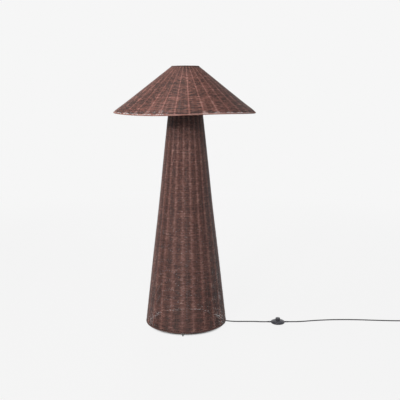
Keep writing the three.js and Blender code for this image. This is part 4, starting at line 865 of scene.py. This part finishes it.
near_rings = [z + np.linspace(-9, 9, 13) for z in RING_HEIGHTS]
heights = np.unique(np.clip(np.concatenate([np.linspace(*ROD_SPAN, 50), *near_rings]), *ROD_SPAN))
swell = sum(WELD_SWELL * np.exp(-((heights - z) / WELD_REACH) ** 2) for z in RING_HEIGHTS)
parts = [leaning(np.stack([ROD + swell, heights], 1), k) for k in range(4)]
for z in RING_HEIGHTS:
    wire = [rod_centre(z) - RING_INSET + ROD * np.cos(around(12)), z + ROD * np.sin(around(12))]
    parts.append(turned(np.stack(wire, 1), 72))
hard_piece("frame_of_base", joined(parts), powder_coat, "frame_steel", "base_frame")
foot = rounded([(AXIS, 0), (4.3, 0), (4.3, 13.8), (3.3, 13.8), (3.3, 2), (AXIS, 2)],
               [0, 0.8, 0.6, 0.3, 0.3, 0])
for quarter, side in enumerate(("right", "back", "left", "front")):
    hard_piece(f"sleeve_{side}", leaning(foot, quarter, 24), polyethylene, "foot_plastic", f"foot_{side}")

# %% [markdown]
# ## The wire frame of the shade
# Three rings and six ribs of thinner wire lie under the weave, worked out on its slope so that they follow
# each wave of the rim. A spider, a flat ring with three arms that sits between the lampholder's nuts, holds
# the top ring. An arm is a straight tube, a little thicker at its welded ends.

# %% The frame of the shade
WIRE, WIRE_OUT = 2.0, -6.2  # radius, and how far under the middle of the weave
RING_PLACES = ((6.9, WIRE_OUT), (200.6, WIRE_OUT - 3.6), (394.8, -5.05))  # along the slope and off it
SEAT = 1284.9  # height of the spider's flat ring
ARM_FROM, ARM_OUT, ARM_UP = 31, 45.3, 179.3  # where an arm starts, and how far it goes out and up

side_along, side_out = section(10, WIRE, WIRE)
parts = []
for along_ring, out_ring in RING_PLACES:
    grid = on_cone(SHADE_CONE, around(120)[:, None], along_ring + side_along[None], out_ring + side_out[None])
    parts.append((grid.reshape(-1, 3), tube_faces(1, 120, 10, True)[0]))
parts.append(rods_on(SHADE_CONE, (7.5, 394.0), around(6), 0, WIRE, WIRE_OUT, 0.0, 10)[:2])
add_piece("frame_of_shade", *joined(parts), powder_coat, "frame_steel", ["shade_frame"], sharp=60)

washer = rounded([(19.8, SEAT), (33, SEAT), (33, SEAT + 2), (19.8, SEAT + 2)], 0.4, closed=True)
run = np.linspace(0, 1, 40)
arm = np.stack([ARM_FROM + ARM_OUT * run, 0 * run, SEAT + 1 + ARM_UP * run], 1)
thick = WIRE + 0.9 * np.exp(-(run / 0.03) ** 2) + 0.7 * np.exp(-((1 - run) / 0.03) ** 2)
arms = [turned_about(sweep(arm, thick, 12)[:2], math.radians(30 + 120 * k)) for k in range(3)]
hard_piece("spider_of_shade", joined([turned(washer, 72), *arms]), powder_coat, "frame_steel", "shade_spider")

# %% [markdown]
# ## The lampholder
# It is moulded in black phenolic: a cap on the stem, a threaded body, a ceramic insert, and two ribbed nuts
# that clamp the spider. Threads are close rings, since nobody can follow so small a helix in there.

# %% The lampholder
CAP_FROM, BODY_FROM, INSERT_FROM = 1244.6, 1266.9, 1269.2


def thread(radius, depth, pitch, start, end):
    """Rows of a ribbed wall: the radius less a cosine of the given depth and pitch, six for each ring."""
    z = np.arange(start, end, pitch / 6)
    return np.stack([radius - depth * (1 - np.cos(2 * np.pi * (z - start) / pitch)) / 2, z], 1)


cap = rounded([(8.3, 0), (13, 0), (19.5, 8), (19.5, 22), (17.5, 22), (17.5, 10), (13, 4), (8.3, 4)],
              [0.5, 1.5, 2.5, 0.5, 0.3, 1, 1, 0.5], closed=True)
turned_piece("holder_dome", cap + [0, CAP_FROM], bakelite, "holder_plastic", "holder_cap")
barrel = np.vstack([[(15, 0), (19, 0)], thread(19.5, 0.5, 2.0, 0.6, 41.4),
                    [(19, 42), (17.6, 42), (17.5, 2), (15, 2)]])
turned_piece("holder_barrel", barrel + [0, BODY_FROM], bakelite, "holder_plastic", "holder_body")
insert = np.vstack([[(AXIS, 0), (16.6, 0), (17.1, 0.5), (17.1, 33.5), (16.6, 34), (14, 34)],
                    thread(13.9, 0.0, 3.6, 6.5, 33)[::-1], [(13.5, 6), (AXIS, 6)]])
turned_piece("holder_socket", insert + [0, INSERT_FROM], steatite, "insert_ceramic", "holder_insert",
             closed=False)
nut = rounded([(19.8, 0), (28, 0), (28, 5), (19.8, 5)], [0.3, 1, 1, 0.3], closed=True)
for name, height in (("lower", SEAT - 5.3), ("upper", SEAT + 2.3)):
    turned_piece(f"nut_{name}", nut + [0, height], bakelite, "holder_plastic", f"shade_nut_{name}", sides=160,
                 ribs=32, rib=1.2)

# %% [markdown]
# ## The bulb
# A bulb is blown from opal glass and cemented into a screw cap. Both are turned here, and the glass has a
# wall, so that light passes it as in a real one. Half a wave leads from neck to ball.

# %% The bulb
BULB_FROM, GLASS_FROM = 1275.5, 1300.8
NECK_RADIUS, BALL_RADIUS = 13.2, 30
NECK_HEIGHT, NECK_WIDENS, BALL_HEIGHT = 10, 16.8, 52  # the wave's start and rise, and the ball's middle


def envelope(thickness):
    """From neck to ball the radius is half a cosine wave; the ball's upper half is a quarter circle."""
    t, a = np.linspace(0, 1, 24), np.linspace(0, np.pi / 2, 20)[1:]
    ball = BALL_RADIUS - thickness
    neck = NECK_RADIUS + NECK_WIDENS / 2 * (1 - np.cos(np.pi * t)) - thickness
    return np.vstack([[(NECK_RADIUS - thickness, 0)],
                      np.stack([neck, NECK_HEIGHT + (BALL_HEIGHT - NECK_HEIGHT) * t], 1),
                      np.stack([np.maximum(ball * np.cos(a), 0.3), BALL_HEIGHT + ball * np.sin(a)], 1)])


screw_cap = np.vstack([[(AXIS, 0), (5, 0), (5.6, 0.7), (10, 2), (12.4, 3.6)], thread(13.2, 0.9, 3.6, 4.4, 22),
                       [(13.2, 22.4), (13.2, 25), (AXIS, 25)]])
turned_piece("bulb_screw", screw_cap + [0, BULB_FROM], brass, "brass", "bulb_cap", closed=False)
# Opal glass, flashed white inside: milky, with a soft gloss, and it lets some light through.
opal, node = new_material("opal_bulb_glass")
place = node("TexCoord", {}, "Object")
cloud = node("TexNoise", {"Vector": place, "Scale": 1 / (14 * MM), "Detail": 2.0}, "Fac")
gloss = node("MapRange", {"Value": cloud, "To Min": 0.12, "To Max": 0.26}, "Result")
milk = node("Mix", {0: cloud, 6: linear("#e9e5db"), 7: linear("#f4f1e9")}, 2, data_type="RGBA")
finish_with(node, {"Base Color": milk, "Roughness": gloss, "Transmission Weight": 0.35})
shape = np.vstack([envelope(0), envelope(1)[::-1]])
turned_piece("bulb_envelope", shape + [0, GLASS_FROM], opal, "bulb_glass", "bulb_glass", sides=72)

# %% [markdown]
# ## Pieces that stay as they are
# Plates, clamps, nuts and screws are right as the solid model has them, and only need their finish.

# %% Finishes for the solid model's own pieces
def numbered(name, count):
    """The names name_1, name_2 and so on."""
    return [f"{name}_{k + 1}" for k in range(count)]


KEPT = {
    powder_coat: ["base_plate", "neck_plate", *numbered("ring_clamp", 4)],
    zinc: ["stem", "cord_clamp", *numbered("cord_clamp_screw", 2), *numbered("stem_nut", 4),
           *numbered("ring_clamp_screw", 4), *numbered("switch_screw", 3)],
    steatite: ["switch_block"],
}
for material, names in KEPT.items():
    for name in names:
        for place_in_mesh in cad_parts[name].material_slots:
            place_in_mesh.material = material
print("kept nodes:", sum(map(len, KEPT.values())))

# %% [markdown]
# ## Floor and background
# The photograph has a plain pale ground without an edge. For the camera the floor's look is mixed with plain
# light of that tone; a part stays real, so that the lamp keeps its shadow. The world does the same.

# %% Stage
GROUND, FLOOR_HALF = "#f6f6f6", 400.0
FLOOR_REAL = 0.045  # share of the floor's look that takes light and shadow, near the lamp
REAL_REACH = (1.6, 5.0)  # metres from the lamp: between these that share fades to nothing
UNDER_BASE = (0.19, 0.225)  # inside the base the floor is all real, and dark
FLOOR_SEEN, FLOOR_BOUNCE = 0.9, 0.12  # how much light the floor gives back to the eye, and to the lamp
SKY, SKY_STRENGTH = (0.86, 0.93, 1.0, 1.0), 0.1  # the fill from the room is a little cooler than the lamps


def seen_by_eye(node):
    """1 for camera, glossy and transmission rays, 0 for the rays that light the object."""
    path = node("LightPath", {}).outputs
    some = node("Math", {0: path["Is Camera Ray"], 1: path["Is Glossy Ray"]}, 0, operation="MAXIMUM")
    return node("Math", {0: some, 1: path["Is Transmission Ray"]}, 0, operation="MAXIMUM")


def fading(node, away, reach, near):
    """From `near` to 0 as the distance goes through the reach, in a smooth step."""
    return node("MapRange", {"Value": away, "From Min": reach[0], "From Max": reach[1], "To Min": near,
                             "To Max": 0.0}, "Result", interpolation_type="SMOOTHSTEP")


# Painted studio floor: a pale matt coat.
ground, node = new_material("painted_studio_floor")
eye = seen_by_eye(node)
albedo = node("MapRange", {"Value": eye, "To Min": FLOOR_BOUNCE, "To Max": FLOOR_SEEN}, "Result")
away = node("VectorMath", {0: node("TexCoord", {}, "Object")}, "Value", operation="LENGTH")
near, inside = fading(node, away, REAL_REACH, FLOOR_REAL), fading(node, away, UNDER_BASE, 1.0)
real = node("Math", {0: near, 1: inside}, 0, operation="MAXIMUM")
plain = node("Math", {0: 1.0, 1: real}, 0, operation="SUBTRACT")
share = node("Math", {0: eye, 1: plain}, 0, operation="MULTIPLY")
matt = node("BsdfDiffuse", {"Color": albedo}, 0)
glow = node("Emission", {"Color": linear(GROUND), "Strength": 1.0}, 0)
node("OutputMaterial", {"Surface": node("MixShader", {0: share, 1: matt, 2: glow}, 0)})

h = FLOOR_HALF
floor_mesh = bpy.data.meshes.new("floor")
floor_mesh.from_pydata([(-h, -h, 0), (h, -h, 0), (h, h, 0), (-h, h, 0)], [], [(0, 1, 2, 3)])
floor_mesh.materials.append(ground)
floor = in_scene("floor", floor_mesh)

world = bpy.data.worlds.new("studio")
bpy.context.scene.world = world
node = empty_graph(world)
soft = node("Background", {"Color": SKY, "Strength": SKY_STRENGTH}, 0)
seen = node("Background", {"Color": linear(GROUND), "Strength": 1.0}, 0)
node("OutputWorld", {"Surface": node("MixShader", {0: seen_by_eye(node), 1: soft, 2: seen}, 0)})
print("floor", 2 * h, "m wide, sky strength", SKY_STRENGTH)

# %% [markdown]
# ## Light
# The main light is a small box high on the left in front. A larger one above it softens its shadows, a wide
# one overhead lights the slope of the shade, and a weak cool one, low on the right, fills the foot of the
# base. One behind the lamp, which no gloss mirrors, is for views from there. The camera sees no box.

# %% Lights
WARM, NEARLY_WHITE, COOL = (1.0, 0.965, 0.94), (1.0, 0.98, 0.96), (0.86, 0.94, 1.0)


def soft_box(name, place, target, size, power, tint, spread=180):
    """A square area light whose face looks at the target. A spread below 180 degrees is a grid on it."""
    light = bpy.data.lights.new(name, "AREA")
    light.shape = "SQUARE"
    light.size = size
    light.energy = power
    light.color = tint
    light.spread = math.radians(spread)
    box = in_scene(name, light)
    x, y, z = np.subtract(target, place)
    box.location = place
    box.visible_camera = False
    box.rotation_euler = (math.atan2(np.hypot(x, y), -z), 0, math.atan2(y, x) - math.pi / 2)
    print(name, power, "W")
    return box


soft_box("front_box", (-2.04, -4.58, 2.40), (0, 0, 1.35), 0.2, 25, WARM, 84)
soft_box("upper_box", (-1.3, -4.4, 3.2), (0, 0, 1.35), 0.5, 17, WARM, 84)
soft_box("top_box", (-1.25, -0.9, 3.95), (0, 0, 1.2), 1.6, 38, WARM)
soft_box("fill_box", (1.2, -4.4, 0.9), (0, 0, 0.3), 1.0, 6, COOL, 95)
soft_box("back_box", (0, 4.8, 1.5), (0, 0, 0.9), 1.5, 40, NEARLY_WHITE, 95).visible_glossy = False

# %% [markdown]
# ## Finishing
# Colours are rendered as they are.

# %% Finish
bpy.context.scene.view_settings.view_transform = "Standard"
